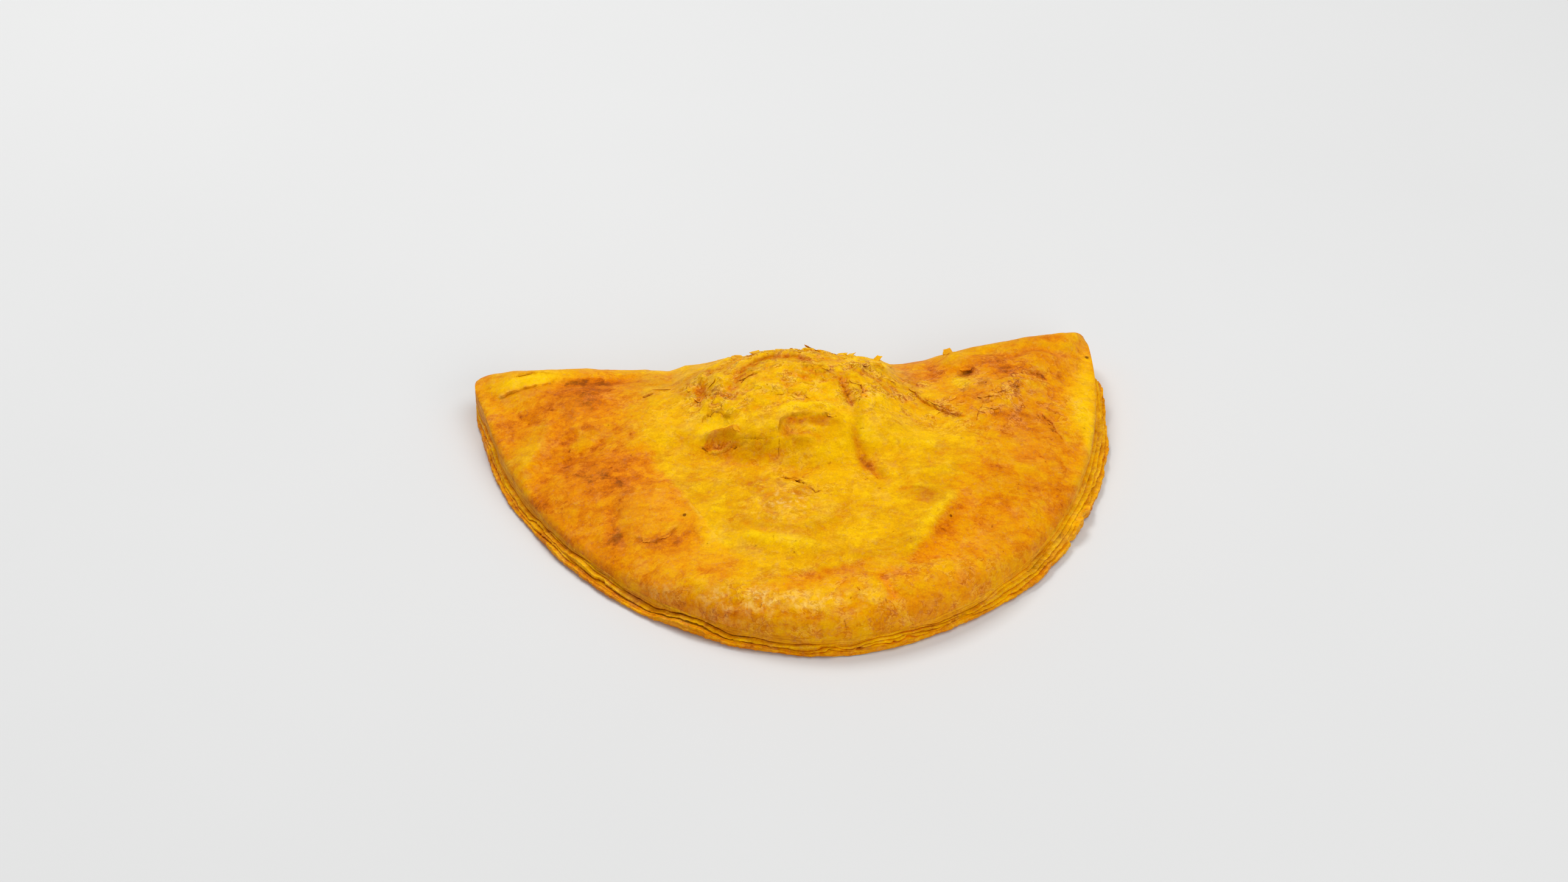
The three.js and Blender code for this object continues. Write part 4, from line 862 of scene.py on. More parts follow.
def beside(line, offsets):
    """Points at given distances to both sides of a line."""
    tang = np.gradient(line, axis=0)
    tang /= np.maximum(np.hypot(*tang.T), 1e-9)[:, None]
    side = np.stack([-tang[:, 1], tang[:, 0]], 1)
    return np.concatenate([line + side * o for o in offsets])


def cells(p, size):
    return np.floor(p / size).astype(np.int64) @ np.array([100003, 1])


def thin(p, size):
    """At most one point in each square of the given size."""
    _, first = np.unique(cells(p, size), return_index=True)
    return p[np.sort(first)]


def clear_of(p, others, size):
    """The points of p whose square and the eight round it hold none of the others."""
    taken = set()
    for dx in (-1, 0, 1):
        for dy in (-1, 0, 1):
            taken.update((cells(others, size) + dx * 100003 + dy).tolist())
    return p[np.array([c not in taken for c in cells(p, size).tolist()])]


line_pts = [beside(row[0], (-0.30, -0.08, 0.10, 0.34)) for row in scarps]
line_pts += [beside(row[0], [m * row[1] for m in (-1.2, -0.7, -0.3, 0.3, 0.7, 1.2)]) for row in cracks]
turns = np.linspace(0, 2 * math.pi, 9)[:-1]
line_pts += [np.array([(cx + k * r * math.cos(a), cy + k * r * math.sin(a)) for k in (0.0, 0.75, 1.35) for a in turns]) for cx, cy, r in SPECKS]
line_pts.append(beside(flap_line, (-0.3, -0.1, 0.1, 0.3)))
line_pts = np.concatenate(line_pts)
line_pts = thin(line_pts[inside(line_pts[:, 0], line_pts[:, 1]) > 0.5], 0.13)
grid_pts = np.concatenate([
    hex_points(0.66, 5, lambda x, y: (inside(x, y) > 0.42) & ~fine_zone(x, y)),
    hex_points(0.37, 6, lambda x, y: (inside(x, y) > 0.42) & fine_zone(x, y)),
])
top_pts = np.concatenate([np.stack([ox, oy], 1), line_pts, clear_of(grid_pts, line_pts, 0.2)])
top_tri = triangulate(top_pts, AROUND)
top_z, top_f = top_fields(top_pts[:, 0], top_pts[:, 1])

# Sheets of crust seen at the curved edge, from the top down: usual thickness (shares), how far
# the sheet stands out (mm), depth of the gap under it (mm), how brown, how bare and how tan its edge is.
SHEETS = [
    (2.6, 0.00, 0.30, .52, .00, .60), (0.6, 0.05, 0.35, .50, .10, .20), (0.9, 0.55, 0.50, .46, .15, .10), (0.7, 0.80, 0.45, .54, .05, .10), (1.6, 1.25, 0.00, .60, .00, .05),
]
front_left = bell(ox + 34, 13) * (oy < 5)
front_right = bell(ox - 27, 7) * (oy < 0)
side_right = sstep(20, 52, ox) * sstep(46, 10, oy)
side_left = sstep(-30, -55, ox) * sstep(46, 10, oy)
tips = sstep(32, 45, oy)
level = top_z[:AROUND]
foot_z = 0.40
weights = np.array([w * np.exp(2.2 * ring_noise(19, 500 + k) + 0.5 * ring_noise(6, 560 + k)) for k, (w, *_) in enumerate(SHEETS)])
for k in (1, 2, 3):
    weights[k] *= 0.10 + 0.90 * sstep(-0.22, 0.12, ring_noise(24, 700 + k) + (0.35 if k == 2 else -0.5) * front_left)
weights[0] *= 1 - 0.45 * front_left
weights /= weights.sum(0)
cuts = 1 - np.concatenate([np.zeros((1, AROUND)), np.cumsum(weights, 0)])      # 1 at the lip .. 0 at the foot
comb = []      # (out, z, brown, lemon, dark, tan) rows along the profile
for k, (_, out, gap, b, bare, tan) in enumerate(SHEETS):
    last = k == len(SHEETS) - 1
    torn = sstep(0.16, 0.34, ring_noise(4.5, 580 + k)) * sstep(-0.1, 0.25, ring_noise(26, 590 + k))
    ragged_edge = 0.22 * ring_noise(2.0, 520 + k) + 0.20 * ring_noise(0.9, 525 + k, 2)
    stand = out + (0.10 + 0.30 * out) * 1.2 * ring_noise(13, 510 + k) + (0.40 + 0.75 * min(out, 1.2)) * ragged_edge - min(out, 0.9) * 0.8 * torn
    stand = stand + (0.0, 0.1, 0.5, 0.6, 0.7)[k] * front_left + (0.0, 0.9, 1.5, 2.1, 2.6)[k] * side_right + (0.0, 0.2, 0.5, 0.7, 0.9)[k] * side_left
    stand = mix(stand, 0.25 * stand, tips)
    z_hi = foot_z + (level - foot_z) * cuts[k]
    z_lo = foot_z + (level - foot_z) * cuts[k + 1]
    here = np.clip(0.35 + 2.4 * ring_noise(11, 530 + k) + 0.9 * ring_noise(3.0, 550 + k), 0.05, 2.4)
    deep = gap * here
    if k == 0:
        deep = deep + 2.3 * front_left * np.clip(1 + 0.8 * ring_noise(7, 533), 0.3, 1.5) + 0.9 * front_right
    if k == 2:
        deep = deep + 1.2 * front_left * np.clip(1 + 1.2 * ring_noise(6, 534), 0.1, 2.0) + 0.5 * front_right
    open_h = np.minimum(0.05 + 0.16 * deep, 0.55)          # how wide the gap gapes
    over = 0.0 if k == 0 else above                         # half of the gap over this sheet
    z_hi, z_lo = z_hi - over, z_lo + (0 if last else open_h)
    thick = z_hi - z_lo
    tone = b + 0.14 * ring_noise(6, 540 + k) + 0.06 * ring_noise(1.3, 570 + k, 2)
    # painted shade in the gap under the sheet, darker where the gap is deeper
    shade = np.clip(0.10 + 0.34 * deep, 0, 0.80)
    if k == 0:      # the upper crust's own thin leaves, as lines on its wall
        for m, at in enumerate((0.16, 0.30, 0.42, 0.54, 0.66, 0.78, 0.90)):
            leaf = (0.07 if m % 2 else -0.06) * np.clip(0.6 + 1.6 * ring_noise(5, 640 + m), 0.0, 1.6)
            wander = 0.05 * ring_noise(9, 650 + m)
            comb.append((stand + 0.18 * at + leaf, z_hi - (at + wander) * thick, tone + (-0.05 if m % 2 else 0.10), 0.10, 0.0 if m % 2 else 0.14, tan * (0.5 if m == 0 else 1)))
        edge_out = stand + 0.12
    else:
        # each sheet painted lighter at its upper corner and browner down towards its lower edge: painted light and
        # shade
        comb.append((stand - 0.05, z_hi - 0.02 * thick, tone - 0.10, bare, 0.0, tan))
        comb.append((stand, z_hi - 0.22 * thick, tone - 0.02, bare, 0.0, tan))
        comb.append((stand + 0.05 + 0.08 * ring_noise(1.6, 660 + k), z_hi - 0.64 * thick, tone + 0.04, bare * 0.9, 0.0, tan))
        edge_out = stand - 0.06
    if last:
        comb.append((stand - 0.02, z_hi - 0.86 * thick, tone + 0.10, 0.0, 0.0, 0.0))
    else:
        # the sheet's lower edge and the gap under it painted browner and darker: painted shade
        comb.append((edge_out - 0.06, z_lo + 0.02 * thick, tone + 0.10, bare * 0.7, 0.3 * shade, tan))
        nxt = SHEETS[k + 1][1]
        comb.append((np.minimum(stand, stand + nxt - out) - 0.12 - deep, z_lo - 0.9 * open_h, tone + 0.26, 0.0, shade, 0.0))
    above = open_h * 0.8
comb.append(((1.0 + 0.5 * ring_noise(6, 670)) * (1 - 0.8 * tips), np.full(AROUND, 0.08), np.full(AROUND, .52), 0.0, 0.0, 0.0))
comb.append((np.full(AROUND, -BASE_INSET_ARC), np.zeros(AROUND), np.full(AROUND, .55), 0.0, 0.0, 0.0))

rows = len(comb)
strip_xyz, strip_f = [], {k: [] for k in ("brown", "lemon", "dark", "gloss", "pale", "peach", "flaky", "wall")}
fold_brown = 0.46 + 0.16 * ring_noise(14, 600) + 0.10 * ring_noise(4, 601)
for k, (out, z, b, bare, dk, tan) in enumerate(comb):
    phi = (k + 1) / rows * math.pi / 2
    band = 0.22 * np.sin(phi * 2) * ring_noise(9, 610 + k // 5) + 0.05 * ring_noise(1.5, 620 + k)
    f_out = -BASE_INSET_FOLD * (1 - math.cos(phi)) + band * math.sin(2 * phi)
    f_z = FOLD_BULGE_Z * (1 - math.sin(phi))
    o = mix(out, f_out, o_fold_soft)
    zz = mix(z, f_z, o_fold_soft)
    if k == rows - 1:
        zz = np.zeros(AROUND)
    strip_xyz.append(np.stack([ox + rx * o / slant, oy + ry * o / slant, zz], 1))
    strip_f["brown"].append(mix(b, fold_brown + 0.10 * math.sin(phi), o_fold_soft))
    strip_f["lemon"].append(mix(np.zeros(AROUND) + bare + 0.45 * side_right * np.clip(0.6 + ring_noise(8, 630 + k // 5), 0, 1), 0.0, o_fold_soft))
    strip_f["dark"].append(mix(np.zeros(AROUND) + dk, 0.0, o_fold_soft))
    strip_f["gloss"].append(np.zeros(AROUND))
    strip_f["pale"].append(np.zeros(AROUND))
    strip_f["flaky"].append(np.full(AROUND, 0.3))
    strip_f["wall"].append(mix(1.0, 0.25, o_fold_soft))
    strip_f["peach"].append(mix(np.zeros(AROUND) + tan, 0.2, o_fold_soft))

# flat underside: rows of points that thin out inwards
base_ring = strip_xyz[-1][:, :2]
base_pts = [base_ring]
for inset, every in ((0.7, 2), (1.8, 4)):
    k = np.arange(0, AROUND, every)
    base_pts.append(base_ring[k] - np.stack([rx[k], ry[k]], 1) * (inset / slant[k])[:, None])
reach = np.hypot(base_ring[:, 0] - HUB[0], base_ring[:, 1] - HUB[1])
ring_ang = np.unwrap(np.arctan2(base_ring[:, 1] - HUB[1], base_ring[:, 0] - HUB[0]))
order = np.argsort(ring_ang % (2 * math.pi))


def in_base(x, y):
    a = np.arctan2(y - HUB[1], x - HUB[0]) % (2 * math.pi)
    lim = np.interp(a, (ring_ang % (2 * math.pi))[order], reach[order], period=2 * math.pi)
    return np.hypot(x - HUB[0], y - HUB[1]) < lim - 3.6


base_pts.append(hex_points(1.9, 7, in_base))
base_pts = np.concatenate(base_pts)
base_tri = triangulate(base_pts, AROUND)
bx, by = base_pts[:, 0], base_pts[:, 1]
base_z = 0.30 * np.clip(fbm(bx / 11, by / 11, 3, 700) - 0.12, 0, 1)
base_z[:AROUND] = 0.0
base_brown = 0.60 + 0.22 * fbm(bx / 13, by / 13, 3, 701) + 0.10 * fbm(bx / 4, by / 4, 2, 702)
base_brown[:AROUND] = strip_f["brown"][-1]

# join: the top's border is the strip's first row, the underside's border its last
n_top = len(top_pts)
verts = [np.column_stack([top_pts, top_z])] + strip_xyz[:-1] + [np.column_stack([base_pts, base_z])]
start_strip = n_top
start_base = n_top + (rows - 1) * AROUND
ring_ids = [np.arange(AROUND)] + [start_strip + k * AROUND + np.arange(AROUND) for k in range(rows - 1)] + [start_base + np.arange(AROUND)]
faces = [top_tri]
nxt = (np.arange(AROUND) + 1) % AROUND
for k in range(rows):
    a, b = ring_ids[k], ring_ids[k + 1]
    i = np.arange(AROUND)
    faces.append(np.stack([a[i], b[i], b[nxt]], 1))
    faces.append(np.stack([a[i], b[nxt], a[nxt]], 1))
faces.append(base_tri[:, ::-1] + start_base)
faces = np.concatenate(faces)
verts = np.concatenate(verts)
fields = {}
for name in strip_f:
    base_v = base_brown if name == "brown" else np.zeros(len(base_pts))
    fields[name] = np.concatenate([top_f[name]] + strip_f[name][:-1] + [base_v])


def crust_layout():
    """Each face corner's place on a flat sheet: the top above, the edge in two bands, the underside below."""
    top = np.stack([0.02 + 0.0056 * (top_pts[:, 0] + 81), 0.43 + 0.0056 * (top_pts[:, 1] + 49)], 1)[top_tri]
    half = AROUND // 2
    i = np.arange(AROUND)
    u = np.where(i < half, i, i - half)
    v0 = np.where(i < half, 0.345, 0.265)
    parts = [top]
    for k in range(rows):
        left, right = 0.02 + 0.96 * u / half, 0.02 + 0.96 * (u + 1) / half
        up, down = v0 + 0.07 * (1 - k / rows), v0 + 0.07 * (1 - (k + 1) / rows)
        a, b, c, d = (np.stack(q, 1) for q in ((left, up), (left, down), (right, down), (right, up)))
        parts += [np.stack([a, b, c], 1), np.stack([a, c, d], 1)]
    parts.append(np.stack([0.40 - 0.0024 * (base_pts[:, 0] + 81), 0.012 + 0.0024 * (base_pts[:, 1] + 49)], 1)[base_tri[:, ::-1]])
    return np.concatenate(parts)


def to_frame(p):
    """Plan millimetres to the model's metres."""
    q = np.asarray(p, float).copy()
    q[:, 0] -= X_ORIGIN
    q[:, 1] -= Y_ORIGIN
    return q / 1000.0


def make_mesh(name, verts_mm, tris, point_fields, material, layout):
    mesh = bpy.data.meshes.new(name)
    co = to_frame(verts_mm).astype(np.float32)
    mesh.vertices.add(len(co))
    mesh.vertices.foreach_set("co", co.ravel())
    mesh.loops.add(len(tris) * 3)
    mesh.loops.foreach_set("vertex_index", tris.astype(np.int32).ravel())
    mesh.polygons.add(len(tris))
    mesh.polygons.foreach_set("loop_start", np.arange(0, len(tris) * 3, 3, dtype=np.int32))
    mesh.update(calc_edges=True)
    mesh.validate()
    mesh.polygons.foreach_set("use_smooth", np.ones(len(mesh.polygons), dtype=bool))
    for key, values in point_fields.items():
        at = mesh.attributes.new(key, "FLOAT", "POINT")
        at.data.foreach_set("value", np.asarray(values, np.float32))
    if len(mesh.polygons) != len(tris):
        raise RuntimeError("the mesh has lost faces")
    flat = mesh.uv_layers.new(name="OFBake")
    flat.data.foreach_set("uv", np.asarray(layout, np.float32).ravel())
    mesh.set_sharp_from_angle(angle=math.radians(58))
    mesh.materials.append(material)
    obj = bpy.data.objects.new(name, mesh)
    bpy.context.scene.collection.objects.link(obj)
    return obj


# ---------------------------------------------------------------- materials
def srgb(r, g, b):
    def lin(c):
        c /= 255.0
        return c / 12.92 if c <= 0.04045 else ((c + 0.055) / 1.055) ** 2.4
    return (lin(r), lin(g), lin(b), 1.0)


class Nodes:
    """Short words for building a node tree."""

    def __init__(self, material):
        material.use_nodes = True
        self.tree = material.node_tree
        self.tree.nodes.clear()

    def new(self, kind, **props):
        n = self.tree.nodes.new(kind)
        for k, v in props.items():
            setattr(n, k, v)
        return n

    def link(self, a, b):
        self.tree.links.new(a, b)

    def put(self, socket, value):
        if isinstance(value, bpy.types.NodeSocket):
            self.link(value, socket)
        else:
            socket.default_value = value

    def math(self, op, a, b=0.0, c=0.0, clamp=False):
        n = self.new("ShaderNodeMath", operation=op, use_clamp=clamp)
        for i, v in enumerate((a, b, c)):
            self.put(n.inputs[i], v)
        return n.outputs[0]

    def attr(self, name):
        return self.new("ShaderNodeAttribute", attribute_name=name).outputs["Fac"]

    def noise(self, vec, scale, detail=3.0, rough=0.55, distortion=0.0):
        n = self.new("ShaderNodeTexNoise")
        self.put(n.inputs["Vector"], vec)
        n.inputs["Scale"].default_value = scale
        n.inputs["Detail"].default_value = detail
        n.inputs["Roughness"].default_value = rough
        n.inputs["Distortion"].default_value = distortion
        return n.outputs["Fac"]

    def remap(self, value, a, b, c=0.0, d=1.0):
        n = self.new("ShaderNodeMapRange", interpolation_type="SMOOTHSTEP")
        for i, v in enumerate((value, a, b, c, d)):
            self.put(n.inputs[i], v)
        return n.outputs[0]

    def blend(self, fac, a, b, mode="MIX"):
        n = self.new("ShaderNodeMix", data_type="RGBA", blend_type=mode)
        self.put(n.inputs[0], fac)
        self.put(n.inputs[6], a)
        self.put(n.inputs[7], b)
        return n.outputs[2]


def crust_material():
    m = bpy.data.materials.new("baked_crust")
    t = Nodes(m)
    out = t.new("ShaderNodeOutputMaterial")
    bsdf = t.new("ShaderNodeBsdfPrincipled")
    t.link(bsdf.outputs[0], out.inputs[0])
    pos = t.new("ShaderNodeTexCoord").outputs["Object"]
    grain_map = t.new("ShaderNodeMapping")
    t.link(pos, grain_map.inputs["Vector"])
    grain_map.inputs["Scale"].default_value = (0.55, 1.0, 1.0)
    grain_map.inputs["Rotation"].default_value = (0.0, 0.0, math.radians(6))
    along = grain_map.outputs[0]

    fibre = t.noise(along, 1250.0, 3.0, 0.6, 0.3)         # drawn-out grain of the layers
    pores = t.noise(pos, 2100.0, 2.0, 0.6)                # fine pores of the browned skin
    grain = t.noise(pos, 1050.0, 3.0, 0.6)                # crystals of the baked skin
    cloud = t.noise(pos, 520.0, 5.0, 0.68, 0.3)           # mottling

    brown = t.attr("brown")
    flaky = t.attr("flaky")
    strong = t.math("MULTIPLY_ADD", brown, 0.7, 0.62)     # browned skin is the more speckled
    fine = t.math("MULTIPLY", t.math("SUBTRACT", fibre, 0.5), 0.11)
    fine = t.math("ADD", fine, t.remap(pores, 0.30, 0.70, -0.02, 0.02))
    fine = t.math("ADD", fine, t.remap(grain, 0.34, 0.66, -0.015, 0.015))
    fine = t.math("MULTIPLY_ADD", t.math("SUBTRACT", cloud, 0.5), 0.18, fine)
    drawn = t.new("ShaderNodeMapping")
    t.link(pos, drawn.inputs["Vector"])
    drawn.inputs["Scale"].default_value = (0.34, 1.0, 1.0)
    drawn.inputs["Rotation"].default_value = (0.0, 0.0, math.radians(-5))
    streak = t.noise(drawn.outputs[0], 520.0, 5.0, 0.62, 0.8)      # smears of the brushed dough
    fine = t.math("MULTIPLY_ADD", t.math("SUBTRACT", streak, 0.5), 0.22, fine)
    # the cut layers on the edge's wall
    level = t.new("ShaderNodeMapping")
    t.link(pos, level.inputs["Vector"])
    level.inputs["Scale"].default_value = (0.10, 0.10, 1.0)
    strata = t.noise(level.outputs[0], 1500.0, 4.0, 0.65, 0.15)
    wall = t.attr("wall")
    fine = t.math("MULTIPLY_ADD", t.math("MULTIPLY", t.math("SUBTRACT", strata, 0.5), wall), 0.9, fine)
    # overlapping skins of the crust, each with a torn border: a thin painted shadow outside it, a pale painted
    # highlight along the rim inside
    skins, shadow, painted_rim_light = 0.0, 0.0, 0.0
    for scale, turn, level, amount in ((85.0, 10, 0.53, 0.05), (140.0, -14, 0.49, -0.07), (230.0, 5, 0.56, 0.07), (330.0, -8, 0.45, -0.06), (560.0, 0, 0.57, 0.05)):
        lay = t.new("ShaderNodeMapping")
        t.link(pos, lay.inputs["Vector"])
        lay.inputs["Scale"].default_value = (0.75, 1.0, 1.0)
        lay.inputs["Rotation"].default_value = (0.0, 0.0, math.radians(turn))
        lay.inputs["Location"].default_value = (0.013 * scale / 85, 0.007, 0.0)
        n = t.noise(lay.outputs[0], scale, 6.0, 0.58, 0.5)
        skins = t.math("ADD", skins, t.remap(n, level - 0.018, level + 0.018, -amount / 2, amount / 2))
        if scale < 400:
            side = 1.0 if amount < 0 else -1.0
            e = t.math("MULTIPLY", t.math("SUBTRACT", n, level), side)
            w = 0.010 * scale / 230.0 + 0.004
            shadow = t.math("MAXIMUM", shadow, t.math("MULTIPLY", t.remap(e, -2.2 * w, -0.8 * w), t.remap(e, 0.6 * w, -0.3 * w)))
            painted_rim_light = t.math("MAXIMUM", painted_rim_light, t.math("MULTIPLY", t.remap(e, 0.2 * w, 0.9 * w), t.remap(e, 3.2 * w, 1.2 * w)))
    broken = t.math("MULTIPLY", flaky, t.remap(t.noise(pos, 260.0, 2.0, 0.5), 0.42, 0.58))
    shadow, painted_rim_light = t.math("MULTIPLY", shadow, broken), t.math("MULTIPLY", painted_rim_light, broken)
    fine = t.math("ADD", fine, skins)
    v = t.math("MULTIPLY_ADD", fine, strong, brown)
    v = t.math("MULTIPLY_ADD", shadow, 0.18, v, clamp=True)

    ramp = t.new("ShaderNodeValToRGB")
    t.link(v, ramp.inputs[0])
    stops = [
        (0.00, (245, 194, 6)), (0.17, (236, 176, 3)), (0.33, (229, 162, 2)), (0.48, (228, 147, 2)),
        (0.64, (221, 126, 2)), (0.80, (203, 103, 2)), (1.00, (150, 70, 3)),
    ]
    el = ramp.color_ramp.elements
    while len(el) < len(stops):
        el.new(0.5)
    for e, (p, c) in zip(el, stops):
        e.position, e.color = p, srgb(*c)
    colour = ramp.outputs[0]

    lemon = t.attr("lemon")
    colour = t.blend(t.math("MULTIPLY", lemon, 0.80), colour, srgb(250, 200, 4))
    # the dull pink with its painted sheen on the top, and the tan of the edge's wall
    peach = t.math("MULTIPLY", t.attr("peach"), t.remap(pores, 0.35, 0.65, 0.25, 0.75))
    colour = t.blend(peach, colour, srgb(231, 149, 32))
    # paler plates and flakes, whitish specks on the whorl, and painted highlights on the front rim, on lifted flake
    # edges and on layer lips
    pale = t.attr("pale")
    plates = t.remap(t.noise(pos, 640.0, 5.0, 0.62, 0.7), 0.47, 0.53, 0.20, 0.80)
    colour = t.blend(t.math("MULTIPLY", pale, plates), colour, srgb(251, 205, 112))
    # burnt specks, and painted shade in cracks, gaps, hollows and under lips and folds
    dark = t.attr("dark")
    colour = t.blend(t.math("MULTIPLY", dark, 0.85), colour, srgb(104, 46, 4))
    specks = t.remap(t.noise(pos, 900.0, 2.0, 0.5), 0.735, 0.77)
    colour = t.blend(t.math("MULTIPLY", specks, 0.35), colour, srgb(150, 84, 10))
    # the painted shadow lines along the skins' borders
    colour = t.blend(t.math("MULTIPLY", shadow, 0.42), colour, srgb(128, 68, 4))
    # duller and paler grains among clear ones
    tint = t.new("ShaderNodeHueSaturation")
    dull = t.math("ADD", t.remap(t.noise(pos, 210.0, 6.0, 0.65, 0.6), 0.52, 0.66, 0.0, 0.018), t.remap(grain, 0.58, 0.70, 0.0, 0.030))
    # the painted rim highlights are paler
    dull = t.math("MULTIPLY_ADD", painted_rim_light, 0.06, dull)
    t.link(t.math("SUBTRACT", 1.0, dull), tint.inputs["Saturation"])
    value = t.math("ADD", t.remap(pores, 0.30, 0.70, 1.04, 0.96), t.remap(grain, 0.34, 0.66, 0.025, -0.025))
    value = t.math("MULTIPLY_ADD", t.math("SUBTRACT", fibre, 0.5), -0.12, value)
    value = t.math("MULTIPLY_ADD", t.math("SUBTRACT", streak, 0.5), -0.14, value)
    value = t.math("MULTIPLY_ADD", t.math("MULTIPLY", t.math("SUBTRACT", strata, 0.5), wall), -0.8, value)
    value = t.math("MULTIPLY_ADD", skins, -0.4, value)
    t.link(t.math("MULTIPLY_ADD", painted_rim_light, 0.07, value), tint.inputs["Value"])
    t.link(colour, tint.inputs["Color"])
    t.link(tint.outputs[0], bsdf.inputs["Base Color"])

    rough = t.math("MULTIPLY_ADD", t.math("SUBTRACT", cloud, 0.5), 0.40, 0.56)
    rough = t.math("SUBTRACT", rough, t.math("MULTIPLY", t.attr("gloss"), 0.22))
    rough = t.math("ADD", rough, t.math("MULTIPLY", dark, 0.2), clamp=True)
    t.link(rough, bsdf.inputs["Roughness"])
    bsdf.inputs["Specular IOR Level"].default_value = 0.14
    bsdf.inputs["Specular Tint"].default_value = (1.0, 0.62, 0.06, 1.0)
    bsdf.inputs["IOR"].default_value = 1.45

    height = t.math("MULTIPLY_ADD", fibre, 0.5, t.math("MULTIPLY_ADD", pores, 0.40, t.math("MULTIPLY", cloud, 0.5)))
    height = t.math("MULTIPLY_ADD", t.math("MULTIPLY", skins, t.math("MULTIPLY_ADD", flaky, 3.0, 1.6)), -1.0, height)
    height = t.math("MULTIPLY_ADD", t.math("MULTIPLY", strata, wall), 1.6, height)
    bump = t.new("ShaderNodeBump")
    bump.inputs["Strength"].default_value = 0.55
    bump.inputs["Distance"].default_value = 0.00022
    t.link(height, bump.inputs["Height"])
    t.link(bump.outputs[0], bsdf.inputs["Normal"])
    return m


def floor_material():
    m = bpy.data.materials.new("pale_floor")
    t = Nodes(m)
    out = t.new("ShaderNodeOutputMaterial")
    bsdf = t.new("ShaderNodeBsdfPrincipled")
    t.link(bsdf.outputs[0], out.inputs[0])
    pos = t.new("ShaderNodeTexCoord").outputs["Object"]
    n = t.noise(pos, 6.0, 4.0, 0.5)
    t.link(t.blend(n, srgb(224, 224, 223), srgb(219, 219, 218)), bsdf.inputs["Base Color"])
    bsdf.inputs["Roughness"].default_value = 0.75
    bsdf.inputs["Specular IOR Level"].default_value = 0.2
    return m


crust = crust_material()
body = make_mesh("patty_crust", verts, faces, fields, crust, crust_layout())
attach(body, "root")
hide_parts("patty")

# ---------------------------------------------------------------- lifted flakes
# x, y, half length towards the free edge, half width, way the free edge points, lift (mm), paler (0..1).
FLAKES = [
    # along the crown's back
    (-14.8, 35.0, 2.0, 1.7, 110, .6, .1), (-10.4, 35.2, 1.6, 1.3, 100, 1.0, .2), (-7.2, 35.8, 1.6, 1.8, 85, .6, .2), (-4.4, 35.7, 1.8, 2.0, 95, .7, .3),
    (3.4, 35.4, 2.2, 1.3, 165, 1.2, .3), (6.6, 35.7, 2.4, 2.8, 92, .9, .2), (10.4, 35.5, 2.0, 1.7, 65, .9, .3), (12.9, 35.4, 1.5, 1.0, 45, 1.4, .2), (16.4, 36.4, 1.8, 1.6, 60, .8, .2),
    (19.9, 38.8, 1.6, 1.0, 50, 1.5, .2), (22.2, 37.6, 1.6, 1.4, 20, .8, .2), (37.9, 41.0, 1.9, 1.7, 95, 1.7, .1),
    # crater, knuckle and crown
    (-21.9, 17.2, 1.1, 2.0, -98, .35, .1), (-17.4, 8.4, 1.7, .9, 175, .5, .6), (4.6, 8.8, .8, 1.4, -92, .45, .1),
    (-13.6, 23.6, 1.0, 2.2, -80, .5, .3), (-22.6, 24.6, 1.4, 1.3, -30, .6, .3), (-25.2, 21.6, 1.2, 1.5, -140, .6, .3), (-26.4, 26.4, 1.3, 1.5, 170, .6, .2),
    (12.0, 19.7, 1.0, 1.5, -100, .5, .3), (12.9, 16.0, 1.3, .9, 20, .5, .2), (15.0, 27.0, 1.6, 1.4, -60, .6, .3), (18.4, 28.8, 1.3, 1.6, 80, .7, .2),
    (21.0, 25.6, 1.6, 1.2, -40, .6, .3), (5.4, 23.8, 1.1, 1.2, -70, .5, .2), 
    (-33.2, 31.0, 1.4, 2.6, -100, .4, .3), (-8.4, -3.9, .8, 1.0, -90, .3, .1), (-5.2, -5.0, 1.0, 1.6, -80, .35, .1),
    # right wing
    (30.0, 16.7, 2.2, .8, 25, .6, .7), (43.4, 20.4, 1.8, 2.2, -80, .5, .3), (46.8, 21.8, 1.5, 1.9, -70, .5, .3), (50.4, 24.4, 1.3, 1.5, -50, .5, .3), (43.9, 16.7, 1.3, 1.8, -85, .4, .7),
    (41.6, 15.3, 1.1, 1.3, -120, .4, .6), (42.8, 28.3, 1.2, 2.0, 100, .55, .3), (46.3, 26.4, 1.2, 1.4, 60, .5, .3), (41.0, 33.3, .9, 1.5, -90, .4, .1), (52.2, 26.9, 1.0, 1.4, 100, .4, .3),
    (55.2, 28.4, 1.1, 1.2, 130, .5, .3), (58.2, 29.0, 1.0, 1.6, 95, .4, .2), (57.6, 26.6, .9, 1.4, 90, .35, .3), (56.3, 15.4, .9, 1.5, 170, .4, .2), (58.2, 12.6, .8, 1.3, 190, .35, .2),
    (26.8, 24.6, 1.2, 1.3, -140, .5, .2), (31.2, 20.0, 1.1, 1.8, -130, .5, .3), (35.0, 16.2, 1.0, 1.6, -125, .4, .3), (-36.4, -17.0, .9, 1.6, -80, .3, .2), (-40.6, -16.6, .9, 1.4, -115, .3, .2),
    (32.8, -31.4, .8, 1.0, -60, .35, .4), (-66.2, 43.2, .8, 1.8, -80, .4, .1),
]


def strewn_flakes(count, seed):
    """Small loose flakes over the crumbled places."""
    rng = np.random.default_rng(seed)
    rows = []
    while len(rows) < count:
        x, y = rng.uniform(-30, 62), rng.uniform(8, 38)
        if rng.random() > crumbled(np.array([x]), np.array([y]))[0] + 0.08 * float(blob(x, y, -2, 24, 16, 9)):
            continue
        rows.append((x, y, rng.uniform(.4, 1.0), rng.uniform(.3, .9), rng.uniform(-180, 180), rng.uniform(.12, .36), rng.uniform(0, .4)))
    return rows


